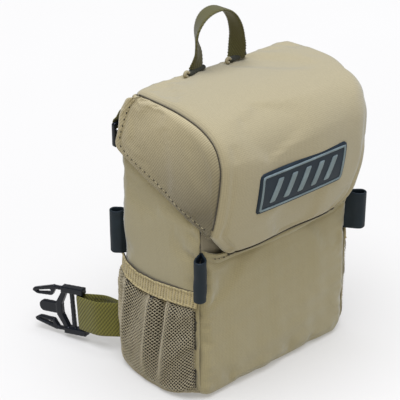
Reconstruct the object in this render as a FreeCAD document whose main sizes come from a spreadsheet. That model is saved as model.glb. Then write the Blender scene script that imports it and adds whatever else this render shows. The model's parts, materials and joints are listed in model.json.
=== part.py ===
import FreeCAD, Part
import math
import os
import re

import Sketcher

# Binocular harness pack: a padded chest pack with a hinged hood, side mesh pockets,
# a front slip pocket, corner accessory loops, a carry loop and buckled harness ends.
# Frame: +Z up, +X to the right seen from the front, front faces -Y.
# Origin: centre of the underside of the base, which stands at Z = 0.

SIZES = {
    # the layers a panel is made of
    "fabric": 1.0,
    "foam": 3.5,
    "lining": 0.8,
    "gap": 0.2,
    "overrun": 1,
    # pack body
    "body_width": 135,
    "front_depth": 41,
    "wall_depth": 34,
    "back_depth": 41,
    "base_radius": 16,
    "corner_radius": 11,
    "rim_height": 186,
    "bend_height": 160,
    "lean": 0.49,
    "back_top": 197.5,
    "seam_top": 124,
    "stiffener": 1.2,
    "stiffener_inset": 1,
    "stiffener_short": 8,
    "pad_thickness": 5,
    "pad_half_width": 58,
    "pad_bottom": 20,
    "pad_top": 142,
    # front slip pocket
    "slip_top": 106.8,
    "hem_height": 5,
    "hem_thickness": 2.2,
    # side mesh pockets
    "mesh_half_depth": 39.8,
    "mesh_shoulder": 37,
    "mesh_step": 4.5,
    "mesh_bulge": 4.5,
    "mesh_wall": 1.2,
    "mesh_bottom": 0.4,
    "mesh_top": 63.3,
    "elastic_top": 76.6,
    "elastic_wall": 1.9,
    # corner accessory loops
    "loop_length": 15,
    "back_loop_length": 11,
    "loop_width": 10,
    "loop_wall": 1.4,
    "loop_bottom": 79.4,
    "loop_height": 27.4,
    # hood
    "hood_top": 201.2,
    "hood_front": 58.5,
    "hood_radius": 32,
    "hood_back": 19.5,
    "hood_bottom": 110,
    "hood_tuck": 5.5,
    "hood_tuck_height": 132,
    "hood_half_width": 67.7,
    "hood_foam": 6,
    "hood_hinge_y": 20,
    "wing_inner": 67.9,
    "wing_wall": 2.3,
    "wing_top_y": 17.5,
    "wing_shoulder_y": 30,
    "wing_shoulder_z": 186,
    "wing_tail_y": 39.6,
    "wing_knee_y": 6.4,
    "wing_knee_z": 147,
    "wing_toe_y": 38,
    "wing_toe_z": 130,
    "wing_tip_lap": 1,
    "wing_tip_drop": 5,
    "chamfer_height": 17,
    "chamfer_width": 14,
    "magnet_radius": 7,
    "magnet_wall": 2,
    "magnet_spread": 36,
    "magnet_height": 145,
    # badge
    "badge_width": 80,
    "badge_height": 30,
    "badge_middle": 149.5,
    "badge_wall": 3,
    "badge_relief": 0.9,
    "badge_corner": 4,
    "badge_margin": 2,
    "badge_border": 1.6,
    "badge_bar_step": 12,
    "badge_bar_inset": 7,
    "badge_bar_width": 4,
    "badge_bar_slant": 6,
    # carry loop and its keepers
    "keeper_height": 3.2,
    "keeper_depth": 6.4,
    "keeper_margin": 0.6,
    "tail_width": 5.6,
    "tail_height": 2.6,
    "tail_inset": 0.4,
    "carry_width": 11,
    "carry_wall": 2.2,
    "carry_middle": -2.4,
    "carry_half_span": 18,
    "carry_bend": 18.5,
    "carry_inset": 3.6,
    "carry_foot": 207.2,
    "carry_leg_top": 218,
    "carry_crown": 243,
    # harness webbing and buckles
    "webbing_width": 25,
    "webbing_wall": 1.5,
    "webbing_fold": 3.6,
    "webbing_root": 1,
    "webbing_seam": 4,
    "webbing_slack": 0.3,
    "webbing_swell": 0.45,
    "waist_reach": 30.5,
    "waist_bulge": 6.5,
    "waist_heading": 70,
    "waist_droop": 6,
    "waist_roll": 4.7,
    "waist_x": 68,
    "waist_y": 42.8,
    "waist_z": 25,
    "bar_radius": 1.7,
    "ear_outer": 18,
    "ear_inner": 13.5,
    "ear_length": 15,
    "ear_wall": 6,
    "ear_back": 3,
    "ear_lap": 0.5,
    "middle_bar_reach": 6,
    "middle_bar_width": 2.8,
    "middle_bar_wall": 2.6,
    "yoke_root": 4,
    "yoke_reach": 5.5,
    "yoke_lap": 0.5,
    "yoke_wall": 4,
    "tongue_reach": 35.5,
    "tongue_half": 4.2,
    "tongue_wall": 3.2,
    "prong_reach": 40.5,
    "prong_gap": 0.4,
    "prong_root_inner": 14.4,
    "prong_root_outer": 16.8,
    "prong_neck": 5,
    "prong_notch": 6.2,
    "prong_hook": 6.6,
    "prong_hook_outer": 17.2,
    "prong_bend": 8.5,
    "prong_bend_inner": 9,
    "prong_nose": 4,
    "prong_nose_inner": 8.4,
    "prong_tip_middle": 10.6,
    "prong_bevel": 1,
    "prong_bevel_outer": 12.6,
    "window_root": 9.3,
    "window_root_inner": 11.6,
    "window_root_outer": 13.6,
    "window_nose": 3.4,
    "window_nose_inner": 9.9,
    "window_nose_outer": 11,
    "shoulder_x": 49,
    "shoulder_y": 33.2,
    "shoulder_z": 184,
    "shoulder_reach": 21.5,
    "shoulder_pitch": 46,
    "shoulder_bulge": 4.2,
    "lock_half_width": 15.2,
    "lock_length": 17.5,
    "lock_corner": 2,
    "lock_wall": 3,
    "lock_rail": 2.5,
    "lock_bar": 2.2,
    "lock_middle_bar": 3,
    "lock_slot": 4.4,
    "lock_thread_slot": 5.3,
}

vector = FreeCAD.Vector
doc = FreeCAD.newDocument("binocular_harness_pack")
sheet = doc.addObject("Spreadsheet::Sheet", "Sizes")
for row, (alias, size) in enumerate(SIZES.items(), start=1):
    sheet.set(f"A{row}", alias.replace("_", " "))
    sheet.set(f"B{row}", str(size))
    sheet.setAlias(f"B{row}", alias)
doc.recompute()

ALIASES = re.compile(r"\b(" + "|".join(SIZES) + r")\b")
PIECES = []


def bound(formula):
    """Turns a formula in the sheet's words into a FreeCAD expression."""
    return ALIASES.sub(r"Sizes.\1", formula)


def size_of(formula):
    """Works out a formula in the sheet's words, as a number."""
    numbers = ALIASES.sub(lambda match: str(SIZES[match.group(1)]), formula)
    return FreeCAD.Units.Quantity(numbers).Value


def piece(shape_object, label):
    """Names a finished sub-part and lists it for export."""
    shape_object.Label = label
    PIECES.append(shape_object)
    return shape_object


# ---------------------------------------------------------------- drawing helpers


def arc_between(start, end, radius):
    """Arc from start to end. A positive radius turns left, a negative one turns right."""
    chord = end - start
    half = chord.Length / 2
    rise = math.sqrt(max(radius * radius - half * half, 0))
    left = vector(-chord.y, chord.x, 0).normalize()
    side = 1 if radius > 0 else -1
    centre = (start + end) * 0.5 + left * rise * side
    first, last = (start, end) if radius > 0 else (end, start)
    first_angle = math.atan2(first.y - centre.y, first.x - centre.x)
    last_angle = math.atan2(last.y - centre.y, last.x - centre.x)
    circle = Part.Circle(centre, vector(0, 0, 1), abs(radius))
    return Part.ArcOfCircle(circle, first_angle, last_angle)


def draw_outline(sketch, corners):
    """Draws a closed outline with every corner bound to the sheet.

    A corner is (u, v), or (u, v, radius) where the run to the next corner is an arc.
    """
    points = [vector(size_of(corner[0]), size_of(corner[1]), 0) for corner in corners]
    runs = []
    for index, corner in enumerate(corners):
        start = points[index]
        end = points[(index + 1) % len(corners)]
        radius = size_of(corner[2]) if len(corner) > 2 else 0
        if radius:
            geometry = sketch.addGeometry(arc_between(start, end, radius), False)
        else:
            geometry = sketch.addGeometry(Part.LineSegment(start, end), False)
        first, last = (1, 2) if radius >= 0 else (2, 1)
        runs.append((geometry, first, last))
    for index, corner in enumerate(corners):
        geometry, first, _ = runs[index]
        before, _, before_last = runs[index - 1]
        sketch.addConstraint(Sketcher.Constraint("Coincident", before, before_last, geometry, first))
        for kind, formula in (("DistanceX", corner[0]), ("DistanceY", corner[1])):
            place = Sketcher.Constraint(kind, -1, 1, geometry, first, size_of(formula))
            number = sketch.addConstraint(place)
            sketch.setExpression(f"Constraints[{number}]", bound(formula))
        if len(corner) > 2:
            bend = Sketcher.Constraint("Radius", geometry, abs(size_of(corner[2])))
            number = sketch.addConstraint(bend)
            sketch.setExpression(f"Constraints[{number}]", bound(f"abs({corner[2]})"))


def prism(name, plane, start, depth, corners, holes=()):
    """A body padded from an outline drawn on one of its own origin planes.

    XY pads up +Z, YZ pads along +X and XZ pads forwards along -Y, all from start.
    """
    body = doc.addObject("PartDesign::Body", name)
    sketch = body.newObject("Sketcher::SketchObject", name + "_outline")
    base_plane = [f for f in body.Origin.OriginFeatures if f.Role == plane + "_Plane"][0]
    sketch.AttachmentSupport = [(base_plane, "")]
    sketch.MapMode = "FlatFace"
    sketch.setExpression("AttachmentOffset.Base.z", bound(start))
    draw_outline(sketch, corners)
    for hole in holes:
        draw_outline(sketch, hole)
    pad = body.newObject("PartDesign::Pad", name + "_extrusion")
    pad.Profile = sketch
    pad.setExpression("Length", bound(depth))
    body.Tip = pad
    return body


def block(name, low, sizes):
    """A box from its lowest corner and its three sizes."""
    box = doc.addObject("Part::Box", name)
    for axis, formula in zip("xyz", low):
        box.setExpression(f"Placement.Base.{axis}", bound(formula))
    for side, formula in zip(("Length", "Width", "Height"), sizes):
        box.setExpression(side, bound(formula))
    return box


def rod(name, radius, length):
    """A cylinder standing on its own origin."""
    cylinder = doc.addObject("Part::Cylinder", name)
    cylinder.setExpression("Radius", bound(radius))
    cylinder.setExpression("Height", bound(length))
    return cylinder


def cut(name, base, tool):
    result = doc.addObject("Part::Cut", name)
    result.Base = base
    result.Tool = tool
    return result


def common(name, base, tool):
    result = doc.addObject("Part::Common", name)
    result.Base = base
    result.Tool = tool
    return result


def fuse(name, parts):
    result = doc.addObject("Part::MultiFuse", name)
    result.Shapes = parts
    return result


def place_at(target, origin, rotation):
    """Puts a piece's own frame at a bound place, turned by a computed rotation."""
    target.Placement = FreeCAD.Placement(vector(*map(size_of, origin)), rotation)
    for axis, formula in zip("xyz", origin):
        target.setExpression(f"Placement.Base.{axis}", bound(formula))


def rectangle(low_u, low_v, high_u, high_v):
    return [(low_u, low_v), (high_u, low_v), (high_u, high_v), (low_u, high_v)]


def band(outer, inner):
    """Closed outline of a strip between two open paths that run the same way."""
    back = []
    for index in reversed(range(len(inner))):
        corner = inner[index]
        run = inner[index - 1] if index else ()
        if len(run) > 2:
            back.append((corner[0], corner[1], f"-1*({run[2]})"))
        else:
            back.append((corner[0], corner[1]))
    return [*outer, *back]


# ---------------------------------------------------------------- pack body


def body_outline(inset):
    """Side view of the pack's hollow, a given distance inside the shell."""
    rim = f"back_depth - (rim_height - bend_height)*lean - ({inset})"
    return [
        (f"-1*(wall_depth - ({inset}))", inset),
        ("back_depth - base_radius", inset, f"base_radius - ({inset})"),
        (f"back_depth - ({inset})", "base_radius"),
        (f"back_depth - ({inset})", "bend_height"),
        (rim, "rim_height"),
        (f"-1*(wall_depth - ({inset}))", "rim_height"),
    ]


def back_path(inset, top):
    """Side view of the back panel's line, from the base round the heel to its top."""
    lean_in = f"back_depth - ({top} - bend_height)*lean - ({inset})"
    return [
        ("back_depth - base_radius", inset, f"base_radius - ({inset})"),
        (f"back_depth - ({inset})", "base_radius"),
        (f"back_depth - ({inset})", "bend_height"),
        (lean_in, top),
    ]


def mirrored_starts(inner, depth):
    """Where a slab starts along X on the left and on the right of the pack."""
    return (("left", f"-1*({inner} + {depth})"), ("right", inner))


def make_side_panels():
    corners = [
        ("-1*front_depth", "corner_radius", "corner_radius"),
        ("-1*front_depth + corner_radius", "0"),
        *body_outline("0")[1:],
        ("-1*wall_depth", "seam_top"),
        ("-1*front_depth", "seam_top"),
    ]
    for side, start in mirrored_starts("body_width/2 - fabric", "fabric"):
        panel = prism(f"side_{side}", "YZ", start, "fabric", corners)
        piece(panel, f"side_panel_{side}")


def make_shell_panels():
    half = "body_width/2 - fabric - gap"
    wide = f"2*({half})"
    wall = block(
        "wall",
        (f"-1*({half})", "-1*wall_depth", "fabric + gap"),
        (wide, "fabric", "rim_height - fabric - gap"),
    )
    piece(wall, "front_wall")
    base = block(
        "base",
        (f"-1*({half})", "-1*front_depth + fabric + gap", "0"),
        (wide, "front_depth + back_depth - base_radius - fabric - 2*gap", "fabric"),
    )
    piece(base, "base_panel")
    strip = band(back_path("0", "back_top"), back_path("fabric", "back_top"))
    back = prism("back", "YZ", f"-1*({half})", wide, strip)
    piece(back, "back_panel")
    pad = block(
        "back_cushion",
        ("-1*pad_half_width", "back_depth + gap", "pad_bottom"),
        ("2*pad_half_width", "pad_thickness", "pad_top - pad_bottom"),
    )
    piece(pad, "back_pad")


def make_magnet_seats(name, base, faces):
    """Cuts a pair of round seats into a foam layer, from one plane forwards."""
    drills = []
    for side in (-1, 1):
        drill = rod(f"{name}_drill_{side + 1}", "magnet_radius + gap", "magnet_wall + 3*gap")
        origin = (f"{side}*magnet_spread", faces, "magnet_height")
        place_at(drill, origin, FreeCAD.Rotation(vector(1, 0, 0), 90))
        drills.append(drill)
    return cut(f"{name}_seated", base, fuse(f"{name}_drills", drills))


def make_magnets(label, faces):
    discs = []
    for side in (-1, 1):
        disc = rod(f"{label}_disc_{side + 1}", "magnet_radius", "magnet_wall")
        origin = (f"{side}*magnet_spread", faces, "magnet_height")
        place_at(disc, origin, FreeCAD.Rotation(vector(1, 0, 0), 90))
        discs.append(disc)
    pair = doc.addObject("Part::Compound", f"{label}_pair")
    pair.Links = discs
    piece(pair, label)


def make_padding():
    skin = "(fabric + gap)"
    core = f"{skin} + foam + gap"
    for side, start in mirrored_starts(f"body_width/2 - ({skin}) - foam", "foam"):
        slab = prism(f"foam_{side}", "YZ", start, "foam", body_outline(skin))
        piece(slab, f"side_foam_{side}")
    half = f"(body_width/2 - ({core}))"
    wide = f"2*{half}"
    front = block(
        "foam_front",
        (f"-1*{half}", f"-1*wall_depth + {skin}", core),
        (wide, "foam", f"rim_height - ({core})"),
    )
    seat = f"-1*wall_depth + {skin} + magnet_wall + gap"
    front = make_magnet_seats("foam_front", front, seat)
    piece(front, "front_foam")
    make_magnets("rim_magnets", f"-1*wall_depth + {skin} + magnet_wall")
    under = block(
        "foam_base",
        (f"-1*{half}", f"-1*wall_depth + {skin}", skin),
        (wide, f"wall_depth - {skin} + back_depth - base_radius", "foam"),
    )
    piece(under, "base_foam")
    strip = band(back_path(skin, "rim_height"), back_path(f"{skin} + foam", "rim_height"))
    trimmed = prism("foam_back", "YZ", f"-1*{half}", wide, strip)
    clear_of_base = block(
        "foam_back_room",
        (f"-1*{half} - overrun", "back_depth - base_radius - overrun", "0"),
        (f"{wide} + 2*overrun", "overrun + gap", core),
    )
    piece(cut("foam_back_cut", trimmed, clear_of_base), "back_foam")
    stiffener = block(
        "base_plate",
        (f"-1*({half} - stiffener_inset)", f"-1*wall_depth + {core} + stiffener_inset", core),
        (
            f"{wide} - 2*stiffener_inset",
            "wall_depth + back_depth - base_radius - stiffener_short",
            "stiffener",
        ),
    )
    piece(stiffener, "base_stiffener")


def make_lining():
    outside = "fabric + foam + 3*gap + stiffener"
    inside = f"{outside} + lining"
    half = f"(body_width/2 - ({outside}))"
    outer = prism("lining_outside", "YZ", f"-1*{half}", f"2*{half}", body_outline(outside))
    hollow_half = f"({half} - lining)"
    hollow = body_outline(inside)
    rim = [(corner[0], "rim_height + overrun") for corner in hollow[-2:]]
    inner = prism("lining_inside", "YZ", f"-1*{hollow_half}", f"2*{hollow_half}", [*hollow[:-2], *rim])
    piece(cut("lining_box", outer, inner), "compartment_lining")


# ---------------------------------------------------------------- pockets and loops


def make_front_pocket():
    half = "(body_width/2 - fabric - gap)"
    corners = [
        (f"-1*{half} + corner_radius", "0"),
        (f"{half} - corner_radius", "0", "corner_radius"),
        (half, "corner_radius"),
        (half, "slip_top"),
        (f"-1*{half}", "slip_top"),
        (f"-1*{half}", "corner_radius", "corner_radius"),
    ]
    panel = prism("slip_panel", "XZ", "front_depth - fabric", "fabric", corners)
    piece(panel, "front_pocket_panel")
    hem = block(
        "slip_hem",
        (f"-1*{half}", "-1*front_depth + fabric/2 - hem_thickness/2", "slip_top + gap"),
        (f"2*{half}", "hem_thickness", "hem_height"),
    )
    piece(hem, "front_pocket_hem")


def pocket_path(inset):
    """Plan of a side pocket's outer wall from front to back, on the +X side."""
    root = "(body_width/2 + gap)"
    bulge = f"(mesh_bulge + mesh_step + {root})"
    sag = f"((mesh_shoulder^2 + mesh_bulge^2)/(2*mesh_bulge) - ({inset}))"
    depth = f"(mesh_half_depth - ({inset}))"
    shoulder = f"(mesh_shoulder - ({inset})*mesh_shoulder/(mesh_shoulder + 2*mesh_bulge))"
    shoulder_x = f"({root} + mesh_step - ({inset}))"
    middle = f"({bulge} - ({inset}))"
    return [
        (root, f"-1*{depth}"),
        (shoulder_x, f"-1*{shoulder}", sag),
        (middle, "0", sag),
        (shoulder_x, shoulder),
        (root, depth),
    ]


def turned_half(target):
    """Turns a piece of the right side half a turn, onto the left side."""
    target.Placement = FreeCAD.Placement(vector(0, 0, 0), vector(0, 0, 1), 180)
    return target


def make_side_pockets():
    for side in ("left", "right"):
        outer = prism(f"mesh_{side}_out", "XY", "mesh_bottom", "mesh_top - mesh_bottom", pocket_path("0"))
        floor = "mesh_bottom + mesh_wall"
        inner = prism(f"mesh_{side}_in", "XY", floor, "mesh_top", pocket_path("mesh_wall"))
        pouch = cut(f"mesh_{side}_pouch", outer, inner)
        strip = band(pocket_path("0"), pocket_path("elastic_wall"))
        elastic = prism(
            f"elastic_{side}", "XY", "mesh_top + gap", "elastic_top - mesh_top - gap", strip
        )
        turn = -1 if side == "left" else 1
        keep = prism(
            f"mesh_{side}_heel",
            "YZ",
            "body_width/2",
            "2*(mesh_step + mesh_bulge)",
            heel_outline(turn),
        )
        pouch = common(f"mesh_{side}_heeled", pouch, keep)
        for target, label in ((pouch, f"mesh_pocket_{side}"), (elastic, f"pocket_elastic_{side}")):
            if side == "left":
                turned_half(target)
            piece(target, label)


def heel_outline(turn):
    """Side view that keeps a pocket's lower back corner round; turn -1 swaps front and back."""
    front = f"{-turn}*(mesh_half_depth + overrun)"
    tangent = f"{turn}*(back_depth - base_radius)"
    back = f"{turn}*back_depth"
    radius = f"{turn}*base_radius"
    return [
        (front, "0"),
        (tangent, "0", radius),
        (back, "base_radius"),
        (back, "elastic_top"),
        (front, "elastic_top"),
    ]


def make_accessory_loops():
    """Four stiff loops, each sewn into a vertical corner and standing out diagonally."""
    half = "(loop_width/2)"
    hollow = f"({half} - loop_wall)"

    def tear_drop(length, half_width):
        nose = f"({length} - {half})"
        return [
            (f"gap - {half_width}", f"-1*{half_width}"),
            (nose, f"-1*{half_width}", half_width),
            (f"{nose} + {half_width}", "0", half_width),
            (nose, half_width),
            (f"gap - {half_width}", half_width),
        ]

    corners = {
        "front_left": (-1, -1, 225),
        "front_right": (1, -1, 315),
        "back_left": (-1, 1, 135),
        "back_right": (1, 1, 45),
    }
    for label, (across, along, heading) in corners.items():
        length = "loop_length" if along < 0 else "back_loop_length"
        tape = band(tear_drop(length, half), tear_drop(length, hollow))
        loop = prism(f"loop_{label}", "XY", "0", "loop_height", tape)
        depth = "front_depth" if along < 0 else "back_depth"
        origin = (f"{across}*body_width/2", f"{along}*{depth}", "loop_bottom")
        place_at(loop, origin, FreeCAD.Rotation(vector(0, 0, 1), heading))
        piece(loop, f"accessory_loop_{label}")


# ---------------------------------------------------------------- hood


def hood_path(inset):
    """Side view of the hood from its hinge line over the top and down the front."""
    front = f"-1*(hood_front - ({inset}))"
    return [
        ("hood_back", f"hood_top - ({inset})"),
        ("-1*(hood_front - hood_radius)", f"hood_top - ({inset})", f"hood_radius - ({inset})"),
        (front, "hood_top - hood_radius"),
        (front, "hood_tuck_height"),
        (f"{front} + hood_tuck", "hood_bottom"),
    ]


def hood_front_outline(name):
    """Front view of the hood's opening edge: cut off on the left, round on the right."""
    half = "(hood_half_width + overrun)"
    round_corner = "(chamfer_width + overrun)"
    corners = [
        (f"-1*{half} + {round_corner}", "hood_bottom"),
        (f"{half} - {round_corner}", "hood_bottom", round_corner),
        (half, f"hood_bottom + {round_corner}"),
        (half, "hood_top + overrun"),
        (f"-1*{half}", "hood_top + overrun"),
        (f"-1*{half}", "hood_bottom + chamfer_height"),
    ]
    start = "-1*hood_back - overrun"
    return prism(name, "XZ", start, "hood_front + hood_back + 2*overrun", corners)


def make_hood():
    starts = {
        "hood_shell": ("0", "fabric"),
        "hood_foam": ("fabric + gap", "fabric + gap + hood_foam"),
        "hood_lining": ("fabric + 2*gap + hood_foam", "fabric + 2*gap + hood_foam + lining"),
    }
    for label, (outside, inside) in starts.items():
        strip = band(hood_path(outside), hood_path(inside))
        layer = prism(f"{label}_strip", "YZ", "-1*hood_half_width", "2*hood_half_width", strip)
        trimmed = common(f"{label}_trimmed", layer, hood_front_outline(f"{label}_edge"))
        if label == "hood_foam":
            trimmed = make_magnet_seats("hood_foam", trimmed, f"-1*(hood_front - ({inside})) + gap/2")
        piece(trimmed, label)
    make_magnets("hood_magnets", "-1*(hood_front - fabric - gap - hood_foam) - gap")


def make_hood_wings():
    corners = [
        ("wing_top_y", "hood_top"),
        ("wing_shoulder_y", "wing_shoulder_z"),
        ("wing_tail_y", "bend_height"),
        ("wing_knee_y", "wing_knee_z"),
        ("-1*wing_toe_y", "wing_toe_z"),
        ("-1*hood_front + hood_tuck + wing_tip_lap", "hood_tuck_height - wing_tip_drop"),
        ("-1*hood_front", "hood_tuck_height"),
        ("-1*hood_front", "hood_top - hood_radius", "-1*hood_radius"),
        ("-1*(hood_front - hood_radius)", "hood_top"),
    ]
    for side, start in mirrored_starts("wing_inner", "wing_wall"):
        wing = prism(f"wing_{side}", "YZ", start, "wing_wall", corners)
        piece(wing, f"hood_wing_{side}")


def round_rectangle(half_u, half_v, middle_v, radius):
    """Rectangle with round corners, counterclockwise."""
    low = f"{middle_v} - ({half_v})"
    high = f"{middle_v} + ({half_v})"
    return [
        (f"-1*({half_u} - ({radius}))", low),
        (f"{half_u} - ({radius})", low, radius),
        (half_u, f"{low} + {radius}"),
        (half_u, f"{high} - ({radius})", radius),
        (f"{half_u} - ({radius})", high),
        (f"-1*({half_u} - ({radius}))", high, radius),
        (f"-1*({half_u})", f"{high} - ({radius})"),
        (f"-1*({half_u})", f"{low} + {radius}", radius),
    ]


def make_badge():
    """A moulded plate with a raised border and five plain slanted bars."""
    face = "hood_front + gap"
    outline = round_rectangle("badge_width/2", "badge_height/2", "badge_middle", "badge_corner")
    plate = prism("badge", "XZ", face, "badge_wall", outline)
    piece(plate, "badge_plate")
    relief_face = f"{face} + badge_wall"
    edges = []
    rounding = {
        "badge_margin": "badge_corner - badge_margin/2",
        "(badge_margin + badge_border)": "badge_corner - badge_margin",
    }
    for margin, corner in rounding.items():
        half_u = f"badge_width/2 - {margin}"
        half_v = f"badge_height/2 - {margin}"
        edges.append(round_rectangle(half_u, half_v, "badge_middle", corner))
    border = prism("badge_border", "XZ", relief_face, "badge_relief", edges[0], [edges[1]])
    bars = [border]
    for index in range(5):
        middle = f"{index - 2}*badge_bar_step"
        low_v = "badge_middle - badge_height/2 + badge_bar_inset"
        high_v = "badge_middle + badge_height/2 - badge_bar_inset"
        foot = f"{middle} - badge_bar_slant/2"
        head = f"{middle} + badge_bar_slant/2"
        slant = [
            (f"{foot} - badge_bar_width/2", low_v),
            (f"{foot} + badge_bar_width/2", low_v),
            (f"{head} + badge_bar_width/2", high_v),
            (f"{head} - badge_bar_width/2", high_v),
        ]
        bars.append(prism(f"badge_bar_{index}", "XZ", relief_face, "badge_relief", slant))
    relief = doc.addObject("Part::Compound", "badge_raised")
    relief.Links = bars
    piece(relief, "badge_relief")


def make_keepers():
    """Rubber keepers at the carry loop's feet, and the folded webbing ends beside them."""
    tails = []
    front = "hood_hinge_y - carry_inset - keeper_depth/2"
    for side, label in ((-1, "left"), (1, "right")):
        left_end = f"carry_middle + {side}*carry_half_span - carry_width/2 - keeper_margin"
        keeper = block(
            f"keeper_{label}",
            (left_end, front, "hood_top + gap"),
            ("carry_width + 2*keeper_margin", "keeper_depth", "keeper_height"),
        )
        piece(keeper, f"loop_keeper_{label}")
        tail = block(
            f"tail_{label}",
            (f"{left_end} - gap - tail_width", f"{front} + tail_inset", "hood_top + gap"),
            ("tail_width", "keeper_depth - 2*tail_inset", "tail_height"),
        )
        tails.append(tail)
    ends = doc.addObject("Part::Compound", "tail_pair")
    ends.Links = tails
    piece(ends, "loop_tails")


# ---------------------------------------------------------------- carry loop


def twisted_leg(name, middle):
    """A webbing leg that turns a quarter between its flat foot and the crown."""
    foot = size_of("carry_foot")
    top = size_of("carry_leg_top")
    half_width = size_of("carry_width/2")
    half_wall = size_of("carry_wall/2")
    steps = 6
    sections = []
    for step in range(steps + 1):
        share = step / steps
        angle = share * math.pi / 2
        height = foot + (top - foot) * share
        corners = []
        for across, along in ((-1, -1), (1, -1), (1, 1), (-1, 1)):
            u = across * half_width
            v = along * half_wall
            x = middle + u * math.cos(angle) - v * math.sin(angle)
            y = size_of("hood_hinge_y - carry_inset") + u * math.sin(angle) + v * math.cos(angle)
            corners.append(vector(x, y, height))
        sections.append(Part.makePolygon([*corners, corners[0]]))
    leg = doc.addObject("Part::Feature", name)
    leg.Shape = Part.makeLoft(sections, True, True)
    return leg


def make_carry_loop():
    """The crown is a flat band standing on edge; both legs twist down to flat feet."""
    span = "(carry_half_span + carry_wall/2)"
    low = "(carry_crown - carry_bend)"

    def crown_path(inset):
        outer_half = f"({span} - ({inset}))"
        bend = f"(carry_bend - ({inset}))"
        flat = f"({outer_half} - {bend})"
        return [
            (f"carry_middle - {outer_half}", "carry_leg_top"),
            (f"carry_middle - {outer_half}", low, f"-1*{bend}"),
            (f"carry_middle - {flat}", f"carry_crown - ({inset})"),
            (f"carry_middle + {flat}", f"carry_crown - ({inset})", f"-1*{bend}"),
            (f"carry_middle + {outer_half}", low),
            (f"carry_middle + {outer_half}", "carry_leg_top"),
        ]

    crown = prism(
        "carry_crown_band",
        "XZ",
        "-1*(hood_hinge_y - carry_inset) - carry_width/2",
        "carry_width",
        band(crown_path("0"), crown_path("carry_wall")),
    )
    legs = [
        twisted_leg(f"carry_leg_{label}", size_of(f"carry_middle + {side}*carry_half_span"))
        for side, label in ((-1, "left"), (1, "right"))
    ]
    piece(fuse("carry_band", [crown, *legs]), "carry_loop")


# ---------------------------------------------------------------- harness ends


def own_frame(reach, width):
    """Rotation whose own X runs along the webbing and whose own Z runs across its width."""
    normal = width.cross(reach)
    return FreeCAD.Rotation(reach, normal, width, "XZY")


def waist_frame(side):
    """The waist webbing leaves its corner seam backwards and outwards, drooping a little."""
    heading = math.radians(size_of("waist_heading"))
    droop = math.radians(size_of("waist_droop"))
    roll = math.radians(size_of("waist_roll"))
    reach = vector(
        -math.cos(heading) * math.cos(droop), math.sin(heading) * math.cos(droop), -math.sin(droop)
    )
    upright = vector(0, 0, 1) - reach * reach.z
    upright.normalize()
    sideways = upright.cross(reach)
    width = upright * math.cos(roll) - sideways * math.sin(roll)
    if side > 0:
        reach.x = -reach.x
        width.x = -width.x
    return own_frame(reach, width)


def webbing_loop(name, reach, bulge):
    """Webbing doubled into a sewn loop: flat at its root, open round the buckle's bar."""
    swell = f"({reach}*webbing_swell)"

    def path(inset):
        fold = f"(webbing_fold - ({inset}))"
        open_half = f"({bulge} - ({inset}))"
        root_half = f"(webbing_wall + webbing_slack - ({inset}))"
        root = "webbing_root" if inset == "0" else "webbing_root + webbing_seam"
        return [
            (root, root_half),
            (swell, open_half),
            (reach, fold, f"-1*{fold}"),
            (f"{reach} + {fold}", "0", f"-1*{fold}"),
            (reach, f"-1*{fold}"),
            (swell, f"-1*{open_half}"),
            (root, f"-1*{root_half}"),
        ]

    width_start = "-1*webbing_width/2"
    return prism(name, "XY", width_start, "webbing_width", path("0"), [path("webbing_wall")])


def make_waist_buckle_frame(name):
    """Male half of a side-release buckle: ears, two bars, a bracket and a guide tongue."""
    front = "(waist_reach + ear_length)"
    ears = []
    for turn, end in ((1, "up"), (-1, "low")):
        low_v = "ear_inner" if turn > 0 else "-1*ear_outer"
        high_v = "ear_outer" if turn > 0 else "-1*ear_inner"
        outline = rectangle("waist_reach - ear_back", low_v, front, high_v)
        ears.append(prism(f"{name}_ear_{end}", "XZ", "-1*ear_wall/2", "ear_wall", outline))
    bar_end = "-1*(ear_inner + ear_lap)"
    bar_length = "2*(ear_inner + ear_lap)"
    bar = rod(f"{name}_bar", "bar_radius", bar_length)
    place_at(bar, ("waist_reach", "0", bar_end), FreeCAD.Rotation())
    middle_bar = block(
        f"{name}_middle_bar",
        ("waist_reach + middle_bar_reach", "-1*middle_bar_wall/2", bar_end),
        ("middle_bar_width", "middle_bar_wall", bar_length),
    )
    outer = "(ear_inner + yoke_lap)"
    wide = "(tongue_half + 2*yoke_lap)"
    narrow = "(tongue_half - yoke_lap)"
    yoke = [
        (f"{front} - yoke_root", f"-1*{outer}"),
        (front, f"-1*{outer}"),
        (f"{front} + yoke_reach", f"-1*{wide}"),
        (f"{front} + yoke_reach", wide),
        (front, outer),
        (f"{front} - yoke_root", outer),
        (f"{front} + 2*yoke_lap", narrow),
        (f"{front} + 2*yoke_lap", f"-1*{narrow}"),
    ]
    bracket = prism(f"{name}_bracket", "XZ", "-1*yoke_wall/2", "yoke_wall", yoke)
    tip = "(waist_reach + tongue_reach)"
    paddle = [
        (f"{front} + yoke_reach - yoke_lap", "-1*tongue_half"),
        (f"{tip} - tongue_half", "-1*tongue_half", "tongue_half"),
        (tip, "0", "tongue_half"),
        (f"{tip} - tongue_half", "tongue_half"),
        (f"{front} + yoke_reach - yoke_lap", "tongue_half"),
    ]
    tongue = prism(f"{name}_tongue", "XZ", "-1*tongue_wall/2", "tongue_wall", paddle)
    return fuse(f"{name}_frame", [*ears, bar, middle_bar, bracket, tongue])


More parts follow.
